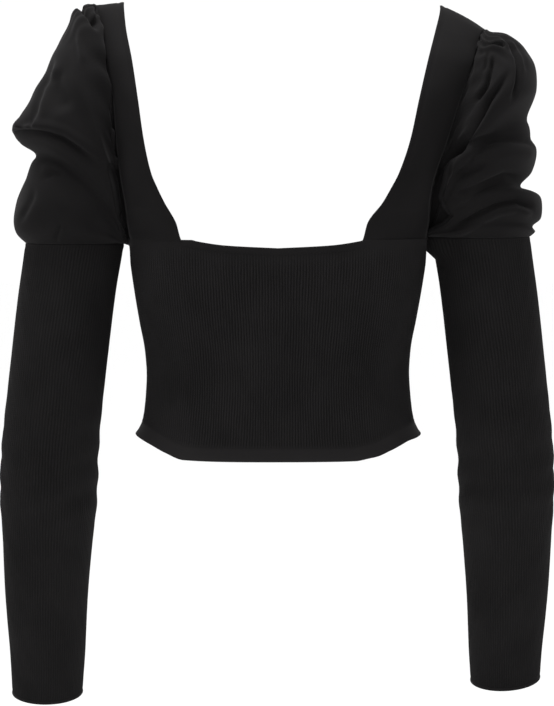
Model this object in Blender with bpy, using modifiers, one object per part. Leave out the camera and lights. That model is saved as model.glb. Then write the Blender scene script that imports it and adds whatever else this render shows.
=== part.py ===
"""Cropped ribbed cardigan with plain-knit straps and gathered puff sleeves, filled out as worn.

Metres, +Z up. The garment's front faces -Y and its left side is +X. The origin lies midway
between the tops of the two shoulder straps, where the wearer's shoulders carry it.
Tables are in millimetres, and MM turns them into metres.
"""
import math

import bmesh
import bpy
import numpy as np

MM = 0.001
SIDES = {"left": 1.0, "right": -1.0}

# ---------------------------------------------------------------- driving sizes (mm)
WALL = 1.6             # thickness of the cloth
SEAM_GAP = 0.35        # space left between two pieces at a seam
SIDE_DEPTH = 110.0     # depth of the torso that turns the gap at the side seam into an angle
RIB_HEIGHT = 0.55      # how far a rib stands above the groove beside it
RIBS_PER_CELL = 5      # ribs over one cell of the plain inside wall
BACK_CELLS = 30        # cells across the back: 150 ribs
FRONT_CELLS = 14       # cells across each front: 70 ribs
SLEEVE_CELLS = 20      # cells round a sleeve: 100 ribs
BACK_CURVE = 2.6       # superellipse powers of the torso's back and front halves
FRONT_CURVE = 2.25
HEM_FLARE = 6.0        # the hem turns out by this much
HEM_FLARE_RISE = 20.0  # over this height
HEM_PLAIN = 11.0       # height of the plain knit edge at the hem
NECK_PLAIN = 5.0       # height of the plain knit edge at the neck
CUFF_PLAIN = 3.0       # height of the plain knit edge at the cuff
SEAM_PLAIN = 1.4       # height of the plain knit beside the puff's seam
RIM_OVERHANG = 0.6     # the puff's rim stands this far outside the sleeve's, clear of its ribs
EDGE_STEP = 1.8        # height over which the ribs run out into a plain edge
CUFF_FLARE = 1.2       # the cuff's edge stands out by this much
CUFF_EDGE_OUT = 0.4    # and by this much where the ribs run out
BAND_HALF = 9.0        # half the width of the button band
BAND_STEP = 1.0        # space between the two bands, for the fronts' inner faces
BAND_TUCK = 6.0        # how far the under band reaches beneath the left front
BUTTON_COUNT = 6
BUTTON_RADIUS = 5.5
BUTTON_THICKNESS = 2.4
# distance from the axis and height above the back, as parts of the radius and the thickness
BUTTON_PROFILE = ((0.0, 0.8), (0.65, 0.8), (0.8, 1.0), (1.0, 0.7), (0.9, 0.0), (0.0, 0.0))
BUTTON_STEPS = 14
BUTTON_CLEAR = 0.8     # the thread holds the button this far off the band
BUTTON_LOWEST = 4.0    # the lowest button lies this far above the flare of the hem
BUTTON_HIGHEST = 9.0   # and the highest this far below the neck edge
SHOULDER_FALL = {"left": 2.0, "right": 21.0}   # drop of the shoulder seam towards the armhole
SHOULDER_FROM = 0.45     # share of a strap from which its armhole edge begins to drop
STRAP_LIFT = 0.8       # the foot of a strap stands this far above the bodice, so that both faces clear it
STRAP_ROWS = 13
STRAP_COLUMNS = 2
UNDERARM_POINTS = 7
PUFF_COLUMNS = 2 * STRAP_ROWS + 1 + UNDERARM_POINTS   # the puff's rim has a point at each strap point
GATHER_DEPTH = 2.2     # height of the gathers at the head of the puff
PUFF_SHIFT = 4.0       # the puff's middle lies this far behind the shoulder seam
UNDERARM_LIFT = 0.9    # the puff passes this far above the bodice under the arm
NORMAL_PASSES = 1      # how often the puff's normals are evened out
# points of a puff's column, counted from the underarm outwards; the others meet every section
COLUMN_POINTS = (2, 2, 2, 2, 3, 4, 6, 8, 11)
UNDERARM_DEPTH = 58.0  # all sections come to this depth on their way to the underarm
UNDERARM_CLEAR = 1.5   # its sections turn back this far inside the seam of the sleeve
# beside the lower armhole the first sections follow its line: how closely, how far out, how far drawn in
TUCK = ((0.85, 4.0, 3.0), (0.6, 8.0, 4.0), (0.3, 12.0, 3.0))
TUCK_FROM = 7          # first column that follows it fully

# ---------------------------------------------------------------- torso
# height, half width, depth of the back, depth of the front
TORSO = (
    (-395.0, 119.5, 90.0, 91.0),
    (-360.0, 117.2, 88.0, 89.0),
    (-343.0, 115.4, 86.0, 88.0),
    (-324.0, 114.4, 85.0, 90.0),
    (-304.0, 115.8, 87.0, 96.0),
    (-277.0, 120.8, 91.0, 104.0),
    (-251.0, 125.2, 95.0, 106.0),
    (-225.0, 128.8, 97.0, 99.0),
    (-200.0, 131.0, 97.0, 93.0),
)
# edges of the bodice: distance from the centre line, height
BACK_HEM = ((0.0, -393.0), (49.0, -393.0), (81.0, -392.5), (98.0, -387.0), (112.0, -381.0), (126.0, -376.0))
FRONT_HEM = ((0.0, -389.0), (50.0, -389.0), (81.0, -388.0), (98.0, -385.0), (112.0, -380.0), (126.0, -376.0))
BACK_TOP = ((0.0, -211.3), (45.0, -209.0), (70.0, -205.5), (74.0, -204.5), (128.8, -204.5), (131.3, -211.0))
FRONT_TOP = ((0.0, -223.5), (50.0, -221.5), (82.0, -215.0), (100.0, -213.5), (131.3, -211.0))
# rows of a bodice panel: place between the hem (0) and the top edge (1), and height above that
PANEL_ROWS = ((0.0, 0.0), (0.0, 0.5 * HEM_PLAIN), (0.0, HEM_PLAIN), (0.2, 0.0), (0.42, 0.0), (0.7, 0.0),
              (1.0, -NECK_PLAIN), (1.0, 0.0))
HEM_HALF = 125.5       # half width of the bodice at the hem and at its top edge
TOP_HALF = 131.3

# ---------------------------------------------------------------- straps
# height, then x and y of the neck edge and of the armhole edge of a back strap
BACK_STRAPS = {
    "left": (
        (-204.0, 83.0, 87.0, 128.4, 35.5),
        (-188.0, 89.3, 87.0, 130.7, 43.3),
        (-174.0, 96.1, 87.0, 132.0, 49.5),
        (-160.0, 102.8, 87.0, 134.4, 53.0),
        (-147.0, 107.9, 86.6, 136.2, 56.0),
        (-120.0, 114.0, 82.8, 139.0, 57.2),
        (-85.0, 119.3, 75.0, 141.5, 55.0),
        (-51.0, 125.0, 59.8, 148.0, 45.7),
        (-23.0, 131.2, 36.2, 153.5, 27.4),
        (-7.0, 133.5, 20.0, 156.0, 15.0),
        (-0.6, 134.3, 8.0, 157.5, 6.0),
        (0.6, 134.5, 0.3, 158.0, 0.3),
    ),
    "right": (
        (-204.0, 73.0, 87.0, 128.6, 34.5),
        (-188.0, 79.5, 87.0, 130.4, 43.3),
        (-174.0, 88.5, 87.0, 130.9, 49.3),
        (-160.0, 96.5, 87.0, 132.8, 53.5),
        (-147.0, 103.0, 86.2, 136.2, 55.5),
        (-120.0, 112.3, 82.8, 145.5, 57.2),
        (-85.0, 120.2, 75.0, 156.0, 55.0),
        (-51.0, 128.5, 59.8, 167.0, 45.7),
        (-23.0, 136.4, 36.2, 174.0, 25.0),
        (-9.0, 140.3, 20.0, 178.0, 14.0),
        (-3.2, 141.3, 8.0, 180.3, 6.0),
        (-2.0, 141.5, 0.3, 180.8, 0.3),
    ),
}
# height, how much further out the neck edge of a front strap lies, y of its neck and armhole edges
FRONT_STRAP = (
    (-216.0, 1.16, -70.0, -36.0),
    (-188.0, 1.12, -74.0, -42.0),
    (-160.0, 1.09, -75.0, -46.0),
    (-120.0, 1.075, -72.0, -47.0),
    (-85.0, 1.07, -64.0, -44.0),
    (-51.0, 1.06, -50.0, -36.0),
    (-23.0, 1.04, -30.0, -22.0),
    (-7.0, 1.015, -17.0, -13.0),
    (-0.8, 1.005, -7.0, -6.0),
    (0.6, 1.0, -0.3, -0.3),
)

# ---------------------------------------------------------------- puff sleeves
# A row for each section, from the armhole to the seam of the ribbed sleeve: x and z of its outermost
# point, depths at the back and front, and the angle at which it leaves the underarm
PUFFS = {
    "left": (
        (168.0, -3.0, 66.0, 58.0, 87.5),
        (178.0, -8.0, 72.0, 64.0, 86.5),
        (185.5, -25.0, 76.0, 68.0, 85.5),
        (195.5, -43.0, 78.0, 70.0, 84.5),
        (207.5, -66.0, 78.0, 70.0, 83.5),
        (220.5, -90.0, 76.0, 69.0, 82.5),
        (233.0, -109.0, 72.0, 67.0, 81.5),
        (225.0, -122.0, 65.0, 62.0, 78.0),
        (212.5, -132.0, 61.0, 58.0, 73.0),
        (216.0, -141.0, 63.0, 60.0, 66.0),
        (225.0, -162.0, 66.0, 62.0, 55.0),
        (230.5, -182.0, 64.0, 60.0, 40.0),
        (229.0, -200.0, 55.0, 52.0, 21.0),
    ),
    "right": (
        (186.0, -26.0, 66.0, 60.0, 82.0),
        (201.0, -28.0, 73.0, 66.0, 81.5),
        (215.0, -39.5, 77.0, 70.0, 81.0),
        (224.0, -55.0, 79.0, 71.0, 80.0),
        (227.0, -76.0, 77.0, 70.0, 79.0),
        (217.5, -99.0, 71.0, 66.0, 78.0),
        (220.0, -110.0, 73.0, 67.0, 76.0),
        (226.5, -130.0, 73.0, 67.0, 72.5),
        (222.5, -147.0, 68.0, 63.0, 68.0),
        (212.5, -160.0, 61.0, 57.0, 63.0),
        (229.5, -168.0, 65.0, 60.0, 52.0),
        (232.0, -184.0, 62.0, 58.0, 38.0),
        (222.5, -192.5, 56.0, 53.0, 27.0),
        (226.0, -198.0, 52.0, 49.0, 15.0),
    ),
}

# ---------------------------------------------------------------- ribbed sleeves
# height, x and y of the centre, half width; the first row is the seam of the puff
SLEEVES = {
    "left": (
        (-209.5, 178.2, 6.0, 42.4),
        (-330.0, 194.2, 11.0, 42.0),
        (-425.0, 202.0, 1.0, 42.6),
        (-485.0, 204.6, -13.0, 39.0),
        (-614.0, 207.3, -44.0, 31.5),
    ),
    "right": (
        (-204.0, 177.8, 6.0, 42.2),
        (-330.0, 193.7, 11.0, 41.9),
        (-422.0, 201.1, 1.0, 41.8),
        (-485.0, 203.4, -13.0, 38.4),
        (-601.5, 204.2, -42.0, 31.1),
    ),
}
CUFF_TILT = {"left": 0.0, "right": 4.0}    # degrees, in the plane of the shoulders
FOREARM_TILT = 13.0                        # degrees, forwards


def clean_scene():
    for item in list(bpy.data.objects):
        bpy.data.objects.remove(item, do_unlink=True)


def parts_collection(name):
    collection = bpy.data.collections.new(name)
    bpy.context.scene.collection.children.link(collection)
    return collection


def cloth_material(name, colour, roughness):
    material = bpy.data.materials.new(name)
    material.use_nodes = True
    shader = material.node_tree.nodes["Principled BSDF"]
    shader.inputs["Base Color"].default_value = (*colour, 1.0)
    shader.inputs["Roughness"].default_value = roughness
    shader.inputs["Metallic"].default_value = 0.0
    return material


def smooth_read(table, column, key):
    """Read one column of a table at a key, on a smooth curve that keeps between its rows."""
    rows = sorted(table, key=lambda row: row[0])
    xs = np.array([row[0] for row in rows])
    ys = np.array([row[column] for row in rows])
    steps = np.diff(xs)
    slopes = np.diff(ys) / steps
    tangents = np.empty_like(ys)
    tangents[0] = slopes[0]
    tangents[-1] = slopes[-1]
    for i in range(1, len(ys) - 1):
        same_way = slopes[i - 1] * slopes[i] > 0.0
        tangents[i] = 2.0 * slopes[i - 1] * slopes[i] / (slopes[i - 1] + slopes[i]) if same_way else 0.0
    key = np.clip(key, xs[0], xs[-1])
    i = np.clip(np.searchsorted(xs, key) - 1, 0, len(steps) - 1)
    t = (key - xs[i]) / steps[i]
    start = (1 + 2 * t) * (1 - t) ** 2 * ys[i] + t * (1 - t) ** 2 * steps[i] * tangents[i]
    end = t * t * (3 - 2 * t) * ys[i + 1] + t * t * (t - 1) * steps[i] * tangents[i + 1]
    return start + end


def even_resample(points, count, closed=False):
    """Points spaced evenly along a polyline."""
    points = np.asarray(points, dtype=float)
    if closed:
        points = np.vstack([points, points[:1]])
    lengths = np.concatenate([[0.0], np.cumsum(np.linalg.norm(np.diff(points, axis=0), axis=1))])
    ends = np.linspace(0.0, lengths[-1], count + 1)[:-1] if closed else np.linspace(0.0, lengths[-1], count)
    return np.stack([np.interp(ends, lengths, points[:, axis]) for axis in range(3)], axis=1)


# ---------------------------------------------------------------- torso form
def torso_point(angle, height, out=0.0):
    """A point of the torso's outer surface: angle 0 is the left side, 90 degrees the middle of the back."""
    half_width = smooth_read(TORSO, 1, height) + out
    is_back = math.sin(angle) >= 0.0
    depth = smooth_read(TORSO, 2 if is_back else 3, height) + out
    power = 2.0 / (BACK_CURVE if is_back else FRONT_CURVE)
    x = half_width * math.copysign(abs(math.cos(angle)) ** power, math.cos(angle))
    y = depth * math.copysign(abs(math.sin(angle)) ** power, math.sin(angle))
    return np.array([x, y, height])


def edge_height(edge, x):
    return float(smooth_read(edge, 1, abs(x)))


def torso_row(start, end, count, share, rise, out):
    """A row of points, evenly spaced round the torso between two angles.

    share is the place between the hem (0) and the top edge (1), and rise moves it up in millimetres.
    """
    is_back = start + end >= 0.0
    hem, top = (BACK_HEM, BACK_TOP) if is_back else (FRONT_HEM, FRONT_TOP)
    traced = []
    power = 2.0 / (BACK_CURVE if is_back else FRONT_CURVE)
    for angle in np.linspace(start, end, 241):
        reach = abs(math.cos(angle)) ** power
        low = edge_height(hem, HEM_HALF * reach)
        height = low + share * (edge_height(top, TOP_HALF * reach) - low) + rise
        drop = max(0.0, 1.0 - (height - low) / HEM_FLARE_RISE)
        traced.append(torso_point(angle, height, out + HEM_FLARE * drop ** 2))
    return even_resample(traced, count)


# ---------------------------------------------------------------- walls with raised ribs
def outward(row, closed):
    """Unit normals of a row of points, level with the ground and away from its middle."""
    if closed:
        along = np.roll(row, -1, axis=0) - np.roll(row, 1, axis=0)
    else:
        along = np.gradient(row, axis=0)
    normal = np.stack([along[:, 1], -along[:, 0], np.zeros(len(row))], axis=1)
    return normal / np.linalg.norm(normal, axis=1, keepdims=True)


def raise_ribs(row, closed):
    """Every second point stands out by the height of a rib."""
    lift = RIB_HEIGHT * (np.arange(len(row)) % 2)
    return row + outward(row, closed) * lift[:, None]


def cell_points(row, cell, cells, closed):
    """The vertex numbers of a row that lie along one cell of a wall."""
    spans = len(row) - (0 if closed else 1)
    first = cell * spans // cells
    last = (cell + 1) * spans // cells
    return [row[i % len(row)] for i in range(first, last + 1)]


def stitch_rows(faces, low, high, closed):
    """Faces between two rows of vertex numbers; one row may have several points for each of the other's."""
    cells = min(len(low), len(high)) - (0 if closed else 1)
    for cell in range(cells):
        below = cell_points(low, cell, cells, closed)
        above = cell_points(high, cell, cells, closed)
        if len(below) == 2 and len(above) == 2:
            faces.append((below[0], below[1], above[1], above[0]))
            continue
        few, many = (below, above) if len(below) == 2 else (above, below)
        flip = len(below) != 2
        middle = (len(many) - 1) // 2
        for i in range(len(many) - 1):
            corner = few[0] if i < middle else few[1]
            face = (corner, many[i + 1], many[i])
            faces.append(face[::-1] if flip else face)
        face = (few[0], few[1], many[middle])
        faces.append(face[::-1] if flip else face)


def wall_object(name, outer_rows, inner_rows, closed, material, collection):
    """A closed wall: outer rows from bottom to top, joined at each end to a plain inside of fewer points."""
    vertices = []
    numbers = []
    for row in list(outer_rows) + list(inner_rows)[::-1]:
        numbers.append(list(range(len(vertices), len(vertices) + len(row))))
        vertices.extend(tuple(point * MM) for point in row)
    faces = []
    for low, high in zip(numbers, numbers[1:] + numbers[:1]):
        stitch_rows(faces, low, high, closed)
    if not closed:
        faces.append(tuple(row[0] for row in numbers)[::-1])
        faces.append(tuple(row[-1] for row in numbers))
    mesh = bpy.data.meshes.new(name)
    mesh.from_pydata(vertices, [], faces)
    cap_edges(mesh, numbers, len(outer_rows), closed)
    return finish_mesh(name, mesh, material, collection)


def cap_edges(mesh, numbers, outer_count, closed):
    """Replace the two long end faces by quads and triangles that follow the wall's height."""
    if closed:
        return
    grid = bmesh.new()
    grid.from_mesh(mesh)
    grid.faces.ensure_lookup_table()
    longest = sorted(grid.faces, key=lambda face: len(face.verts))[-2:]
    bmesh.ops.delete(grid, geom=longest, context="FACES_ONLY")
    grid.verts.ensure_lookup_table()
    for end in (0, -1):
        outer = [grid.verts[row[end]] for row in numbers[:outer_count]]
        inner = [grid.verts[row[end]] for row in numbers[outer_count:]][::-1]
        i = 0
        j = 0
        while i < len(outer) - 1 or j < len(inner) - 1:
            inner_done = j == len(inner) - 1
            if inner_done or (i < len(outer) - 1 and outer[i + 1].co.z <= inner[j + 1].co.z):
                corners = (outer[i], outer[i + 1], inner[j])
                i += 1
            else:
                corners = (outer[i], inner[j + 1], inner[j])
                j += 1
            grid.faces.new(corners if end == -1 else corners[::-1])
    grid.to_mesh(mesh)
    grid.free()


def finish_mesh(name, mesh, material, collection):
    grid = bmesh.new()
    grid.from_mesh(mesh)
    bmesh.ops.recalc_face_normals(grid, faces=grid.faces)
    grid.to_mesh(mesh)
    grid.free()
    mesh.materials.append(material)
    mesh.shade_smooth()
    mesh.set_sharp_from_angle(angle=math.radians(35))
    item = bpy.data.objects.new(name, mesh)
    collection.objects.link(item)
    return item


def torso_panel(name, start, end, cells, material, collection):
    """One ribbed panel of the bodice between two angles, with plain edges at the hem and the top."""
    ribbed = cells * 2 * RIBS_PER_CELL + 1
    plain = cells + 1
    outer = []
    for share, rise in PANEL_ROWS:
        is_edge = (share, rise) in (PANEL_ROWS[0], PANEL_ROWS[1], PANEL_ROWS[-1])
        if is_edge:
            outer.append(torso_row(start, end, plain, share, rise, 0.0))
            continue
        if (share, rise) == PANEL_ROWS[2]:
            outer.append(torso_row(start, end, plain, share, rise - EDGE_STEP, 0.0))
        outer.append(raise_ribs(torso_row(start, end, ribbed, share, rise, 0.0), False))
        if (share, rise) == PANEL_ROWS[-2]:
            outer.append(torso_row(start, end, plain, share, rise + EDGE_STEP, 0.0))
    inner = [torso_row(start, end, plain, share, rise, -WALL) for share, rise in PANEL_ROWS]
    return wall_object(name, outer, inner, False, material, collection)


def angle_at_front(x):
    """Angle of the torso's front at a distance from the centre line, at the bust."""
    half_width = smooth_read(TORSO, 1, -300.0)
    return -math.acos((x / half_width) ** (FRONT_CURVE / 2.0))


def make_bodice(material, collection):
    side = (SEAM_GAP / 2.0 / SIDE_DEPTH) ** (BACK_CURVE / 2.0)
    torso_panel("back_body", side, math.pi - side, BACK_CELLS, material, collection)
    near = angle_at_front(BAND_HALF + SEAM_GAP)
    torso_panel("front_left", near, -side, FRONT_CELLS, material, collection)
    torso_panel("front_right", -math.pi + side, -math.pi - near, FRONT_CELLS, material, collection)


# ---------------------------------------------------------------- thin panels
def sheet_object(name, rows, material, collection):
    """An open grid of points, thickened inwards by a Solidify modifier."""
    vertices = [tuple(point * MM) for row in rows for point in row]
    width = len(rows[0])
    faces = []
    for r in range(len(rows) - 1):
        for c in range(width - 1):
            low = r * width + c
            high = low + width
            faces.append((low, low + 1, high + 1, high))
    mesh = bpy.data.meshes.new(name)
    mesh.from_pydata(vertices, [], faces)
    mesh.materials.append(material)
    mesh.shade_smooth()
    item = bpy.data.objects.new(name, mesh)
    collection.objects.link(item)
    solidify = item.modifiers.new("cloth", "SOLIDIFY")
    solidify.thickness = WALL * MM
    solidify.offset = -1.0
    return item


def torso_surface_at(x, height, is_back):
    """Point of the torso's outer surface at a distance from the centre line."""
    half_width = smooth_read(TORSO, 1, height)
    depth = smooth_read(TORSO, 2 if is_back else 3, height)
    power = BACK_CURVE if is_back else FRONT_CURVE
    y = depth * (1.0 - min(1.0, abs(x) / half_width) ** power) ** (1.0 / power)
    return np.array([x, y if is_back else -y, height])


def smoothstep(low, high, value):
    t = min(1.0, max(0.0, (value - low) / (high - low)))
    return t * t * (3.0 - 2.0 * t)


def strap_edges(side, is_back, share):
    """Neck edge and armhole edge of a strap; share 0 is the seam of the bodice and 1 the shoulder."""
    table = BACK_STRAPS[side]
    rows = np.array(table)
    heights = np.interp(share, np.linspace(0.0, 1.0, len(rows)), rows[:, 0])
    neck_x, neck_y, arm_x, arm_y = (float(smooth_read(table, column, heights)) for column in (1, 2, 3, 4))
    neck_z = arm_z = float(heights)
    if not is_back:
        shoulder = table[-1][0]
        place = float(np.interp(heights, (-204.0, shoulder), (FRONT_STRAP[0][0], FRONT_STRAP[-1][0])))
        neck_x *= float(smooth_read(FRONT_STRAP, 1, place))
        neck_y = float(smooth_read(FRONT_STRAP, 2, place))
        arm_y = float(smooth_read(FRONT_STRAP, 3, place))
        neck_z = float(np.interp(heights, (-204.0, shoulder), (-216.0, shoulder)))
        arm_z = float(np.interp(heights, (-204.0, shoulder), (-214.0, shoulder)))
    return np.array([neck_x, neck_y, neck_z]), np.array([arm_x, arm_y, arm_z])


def strap_grid(side, is_back):
    sign = SIDES[side]
    rows = []
    for share in np.linspace(0.0, 1.0, STRAP_ROWS + 1):
        neck, arm = strap_edges(side, is_back, share)
        row = []
        for c in range(STRAP_COLUMNS + 1):
            across = c / STRAP_COLUMNS
            point = neck + (arm - neck) * across
            bulge = 4.0 * across * (1.0 - across)
            point[1] += (6.0 if is_back else -5.0) * bulge * (1.0 - share ** 4)
            point[2] -= SHOULDER_FALL[side] * across ** 1.7 * smoothstep(SHOULDER_FROM, 1.0, share)
            on_torso = torso_surface_at(point[0], max(point[2], -230.0), is_back)
            settle = max(0.0, 1.0 - share / 0.16) * (1.0 - across ** 3)
            point[1] += (on_torso[1] - point[1]) * settle
            row.append(point)
        rows.append(row)
    edge = BACK_TOP if is_back else FRONT_TOP
    for point in rows[0]:
        point[2] = edge_height(edge, point[0]) + STRAP_LIFT
        point[1] = torso_surface_at(point[0], point[2], is_back)[1]
    for row in rows:
        for point in row:
            point[0] *= sign
    turned = sign > 0.0 if is_back else sign < 0.0
    return [row if not turned else row[::-1] for row in np.array(rows)]


def make_straps(material, collection):
    for side in SIDES:
        for is_back in (True, False):
            name = ("back_strap_" if is_back else "front_strap_") + side
            sheet_object(name, strap_grid(side, is_back), material, collection)


# ---------------------------------------------------------------- puff sleeves
def armhole_loop(side):
    """The armhole from the shoulder down the back, under the arm and up the front, as one closed line."""
    sign = SIDES[side]
    back = strap_grid(side, True)
    front = strap_grid(side, False)
    edge = 0 if sign > 0.0 else -1
    back_line = [row[edge] for row in back][::-1]
    front_line = [row[-1 if sign > 0.0 else 0] for row in front]
    under = []
    for across in np.linspace(-1.0, 1.0, UNDERARM_POINTS + 2)[1:-1]:
        is_back = across < 0.0
        start = back_line[-1] if is_back else front_line[0]
        x = 131.6 + (abs(start[0]) - 131.6) * abs(across) ** 2.2
        edge_line = BACK_TOP if is_back else FRONT_TOP
        z = edge_height(edge_line, x) + SEAM_GAP
        y = start[1] * abs(across)
        under.append(np.array([sign * x, y, z]))
    back_line[0] = (back_line[0] + front_line[-1]) / 2.0
    loop = np.array(back_line + under + front_line[:-1])
    return loop + np.array([sign * SEAM_GAP * 1.2, 0.0, 0.0])


def puff_section(side, number, count):
    """One section of a puff: a bent oval from its outermost point over the back to the underarm and round."""
    out_x, out_z, back, front, leaving = PUFFS[side][number]
    sign = SIDES[side]
    seam_z, seam_x, _, seam_radius = SLEEVES[side][0]
    share = (number + 1.0) / (len(PUFFS[side]) + 1.0)
    arm_x = TOP_HALF + SEAM_GAP
    arm_z = BACK_TOP[-1][1] + UNDERARM_LIFT
    pivot_x = arm_x + (seam_x - seam_radius - UNDERARM_CLEAR - arm_x) * share
    pivot_z = arm_z + (seam_z + 1.0 - arm_z) * share
    reach = math.hypot(out_x - pivot_x, out_z - pivot_z)
    outer_angle = math.atan2(out_z - pivot_z, out_x - pivot_x)
    traced = []
    for angle in np.linspace(0.0, 2.0 * math.pi, 361)[:-1]:
        is_back = math.sin(angle) >= 0.0
        turned = abs(math.sin(angle / 2.0)) ** (1.5 if is_back else 2.2)
        polar = outer_angle + (math.radians(leaving) - outer_angle) * turned
        distance = reach * (1.0 + math.cos(angle)) / 2.0
        own = back if is_back else front
        shared = own + (UNDERARM_DEPTH - own) * turned ** 2
        depth = math.copysign(shared, math.sin(angle)) * abs(math.sin(angle)) ** 0.9
        x = pivot_x + distance * math.cos(polar)
        z = pivot_z + distance * math.sin(polar)
        traced.append(np.array([sign * x, depth + PUFF_SHIFT, z]))
    return even_resample(traced, count, closed=True)


def sleeve_ring(side, row_index, count, out=0.0, rise=0.0):
    """A level ring at the seam, or one square to the sleeve further down."""
    table = SLEEVES[side]
    height, x, y, radius = table[row_index]
    sign = SIDES[side]
    share = row_index / (len(table) - 1)
    forward = math.radians(FOREARM_TILT) * share ** 2
    sideways = math.radians(CUFF_TILT[side]) * share ** 4
    ring = []
    for angle in np.linspace(0.0, 2.0 * math.pi, count + 1)[:-1]:
        across = (radius + out) * math.cos(angle)
        deep = (radius * 0.98 + out) * math.sin(angle)
        drop = -deep * math.sin(forward) + across * math.sin(sideways)
        point = (sign * (x + across), y + deep * math.cos(forward), height + drop + rise)
        ring.append(np.array(point))
    return np.array(ring)


def follow_armhole(side, loop, ring, tuck):
    """Draw the lower part of a section towards the armhole, so that a deep crease runs beside it."""
    closeness, outwards, inwards = tuck
    followed = []
    for c in range(PUFF_COLUMNS):
        from_top = min(c, PUFF_COLUMNS - c)
        weight = closeness * min(1.0, from_top / TUCK_FROM) ** 2
        from_underarm = min(1.0, abs(loop[c][1]) / 40.0)
        shift = np.array([SIDES[side] * outwards, -math.copysign(inwards, loop[c][1]), 0.0]) * from_underarm
        followed.append(ring[c] * (1.0 - weight) + (loop[c] + shift) * weight)
    return np.array(followed)


def puff_rows(side):
    """All sections of a puff, from the armhole to the seam of the ribbed sleeve."""
    loop = armhole_loop(side)
    rows = [loop]
    for number in range(len(PUFFS[side])):
        ring = puff_section(side, number, PUFF_COLUMNS)
        if number < len(TUCK):
            ring = follow_armhole(side, loop, ring, TUCK[number])
        fade = max(0.0, 1.0 - number / 4.0)
        middle = ring.mean(axis=0)
        for c in range(PUFF_COLUMNS):
            share = c / PUFF_COLUMNS
            near_top = max(0.0, math.cos(2.0 * math.pi * share) + 0.55) / 1.55
            swell = GATHER_DEPTH * fade * near_top * (1.0 if c % 2 else -1.0)
            away = (ring[c] - middle) / np.linalg.norm(ring[c] - middle)
            ring[c] = ring[c] + away * swell
        rows.append(ring)
    rows.append(sleeve_ring(side, 0, PUFF_COLUMNS, RIM_OVERHANG, SEAM_GAP))
    return rows


def column_picks(column, row_count):
    """Numbers of the sections that a column meets: few near the underarm, where the sections run together."""
    from_underarm = abs(column - PUFF_COLUMNS // 2)
    wanted = COLUMN_POINTS[from_underarm] if from_underarm < len(COLUMN_POINTS) else row_count
    return sorted({int(round(pick)) for pick in np.linspace(0, row_count - 1, wanted)})


def zip_columns(near, far):
    """Triangles between two columns, each a list of section numbers with their vertex numbers."""
    faces = []
    i = 0
    j = 0
    while i < len(near) - 1 or j < len(far) - 1:
        step_near = j == len(far) - 1 or (i < len(near) - 1 and near[i + 1][0] <= far[j + 1][0])
        if step_near:
            faces.append((near[i][1], near[i + 1][1], far[j][1]))
            i += 1
        else:
            faces.append((near[i][1], far[j + 1][1], far[j][1]))
            j += 1
    return faces


def even_normals(points, faces):
    """Unit normals at the points of a mesh of triangles, evened out between neighbours."""
    normals = np.zeros_like(points)
    for face in faces:
        start, second, third = points[list(face)]
        normals[list(face)] += np.cross(second - start, third - start)
    normals /= np.linalg.norm(normals, axis=1, keepdims=True)
    for _ in range(NORMAL_PASSES):
        evened = 2.0 * normals
        for face in faces:
            evened[list(face)] += 0.2 * normals[list(face)].sum(axis=0)
        normals = evened / np.linalg.norm(evened, axis=1, keepdims=True)
    return normals


def level_inward(loop):
    """Unit directions across a closed line, to its inside, with no part along x."""
    along = np.roll(loop, -1, axis=0) - np.roll(loop, 1, axis=0)
    across = np.stack([np.zeros(len(loop)), along[:, 2], -along[:, 1]], axis=1)
    if np.sum(across * (loop.mean(axis=0) - loop)) < 0.0:
        across = -across
    return across / np.linalg.norm(across, axis=1, keepdims=True)


def make_puffs(material, collection):
    for side, sign in SIDES.items():
        rows = puff_rows(side)
        columns = []
        points = []
        for c in range(PUFF_COLUMNS):
            picks = column_picks(c, len(rows))
            columns.append([(pick, len(points) + k) for k, pick in enumerate(picks)])
            points.extend(rows[pick][c] for pick in picks)
        points = np.array(points)
        faces = []
        for near, far in zip(columns, columns[1:] + columns[:1]):
            faces.extend(zip_columns(near, far))
        normals = -sign * even_normals(points, faces)
        for column, level in zip(columns, level_inward(rows[0])):
            normals[column[0][1]] = level
        inner = points + WALL * normals
        count = len(points)
        walls = list(faces) + [(c + count, b + count, a + count) for a, b, c in faces]
        for near, far in zip(columns, columns[1:] + columns[:1]):
            walls.append((near[0][1], far[0][1], far[0][1] + count, near[0][1] + count))
            walls.append((far[-1][1], near[-1][1], near[-1][1] + count, far[-1][1] + count))
        mesh = bpy.data.meshes.new("puff_" + side)
        mesh.from_pydata([tuple(point * MM) for point in np.vstack([points, inner])], [], walls)
        finish_mesh("puff_" + side, mesh, material, collection)


# ---------------------------------------------------------------- ribbed sleeves
def make_sleeves(material, collection):
    ribbed = SLEEVE_CELLS * 2 * RIBS_PER_CELL
    for side, sign in SIDES.items():
        last = len(SLEEVES[side]) - 1
        inner = [sleeve_ring(side, last, SLEEVE_CELLS, -WALL, rise) for rise in (0.0, CUFF_PLAIN)]
        outer = [sleeve_ring(side, last, SLEEVE_CELLS, CUFF_FLARE)]
        outer.append(sleeve_ring(side, last, SLEEVE_CELLS, CUFF_EDGE_OUT, CUFF_PLAIN - EDGE_STEP))
        for index in range(last, -1, -1):
            rise = {last: CUFF_PLAIN, 0: -SEAM_PLAIN}.get(index, 0.0)
            ring = sleeve_ring(side, index, ribbed, 0.0, rise)
            ring = ring if sign > 0.0 else ring[::-1]
            outer.append(raise_ribs(ring, True) if sign > 0.0 else raise_ribs(ring, True)[::-1])
            if index != last:
                inner.append(sleeve_ring(side, index, SLEEVE_CELLS, -WALL, rise))
        outer.append(sleeve_ring(side, 0, SLEEVE_CELLS))
        inner.append(sleeve_ring(side, 0, SLEEVE_CELLS, -WALL))
        wall_object("sleeve_" + side, outer, inner, True, material, collection)


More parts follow.
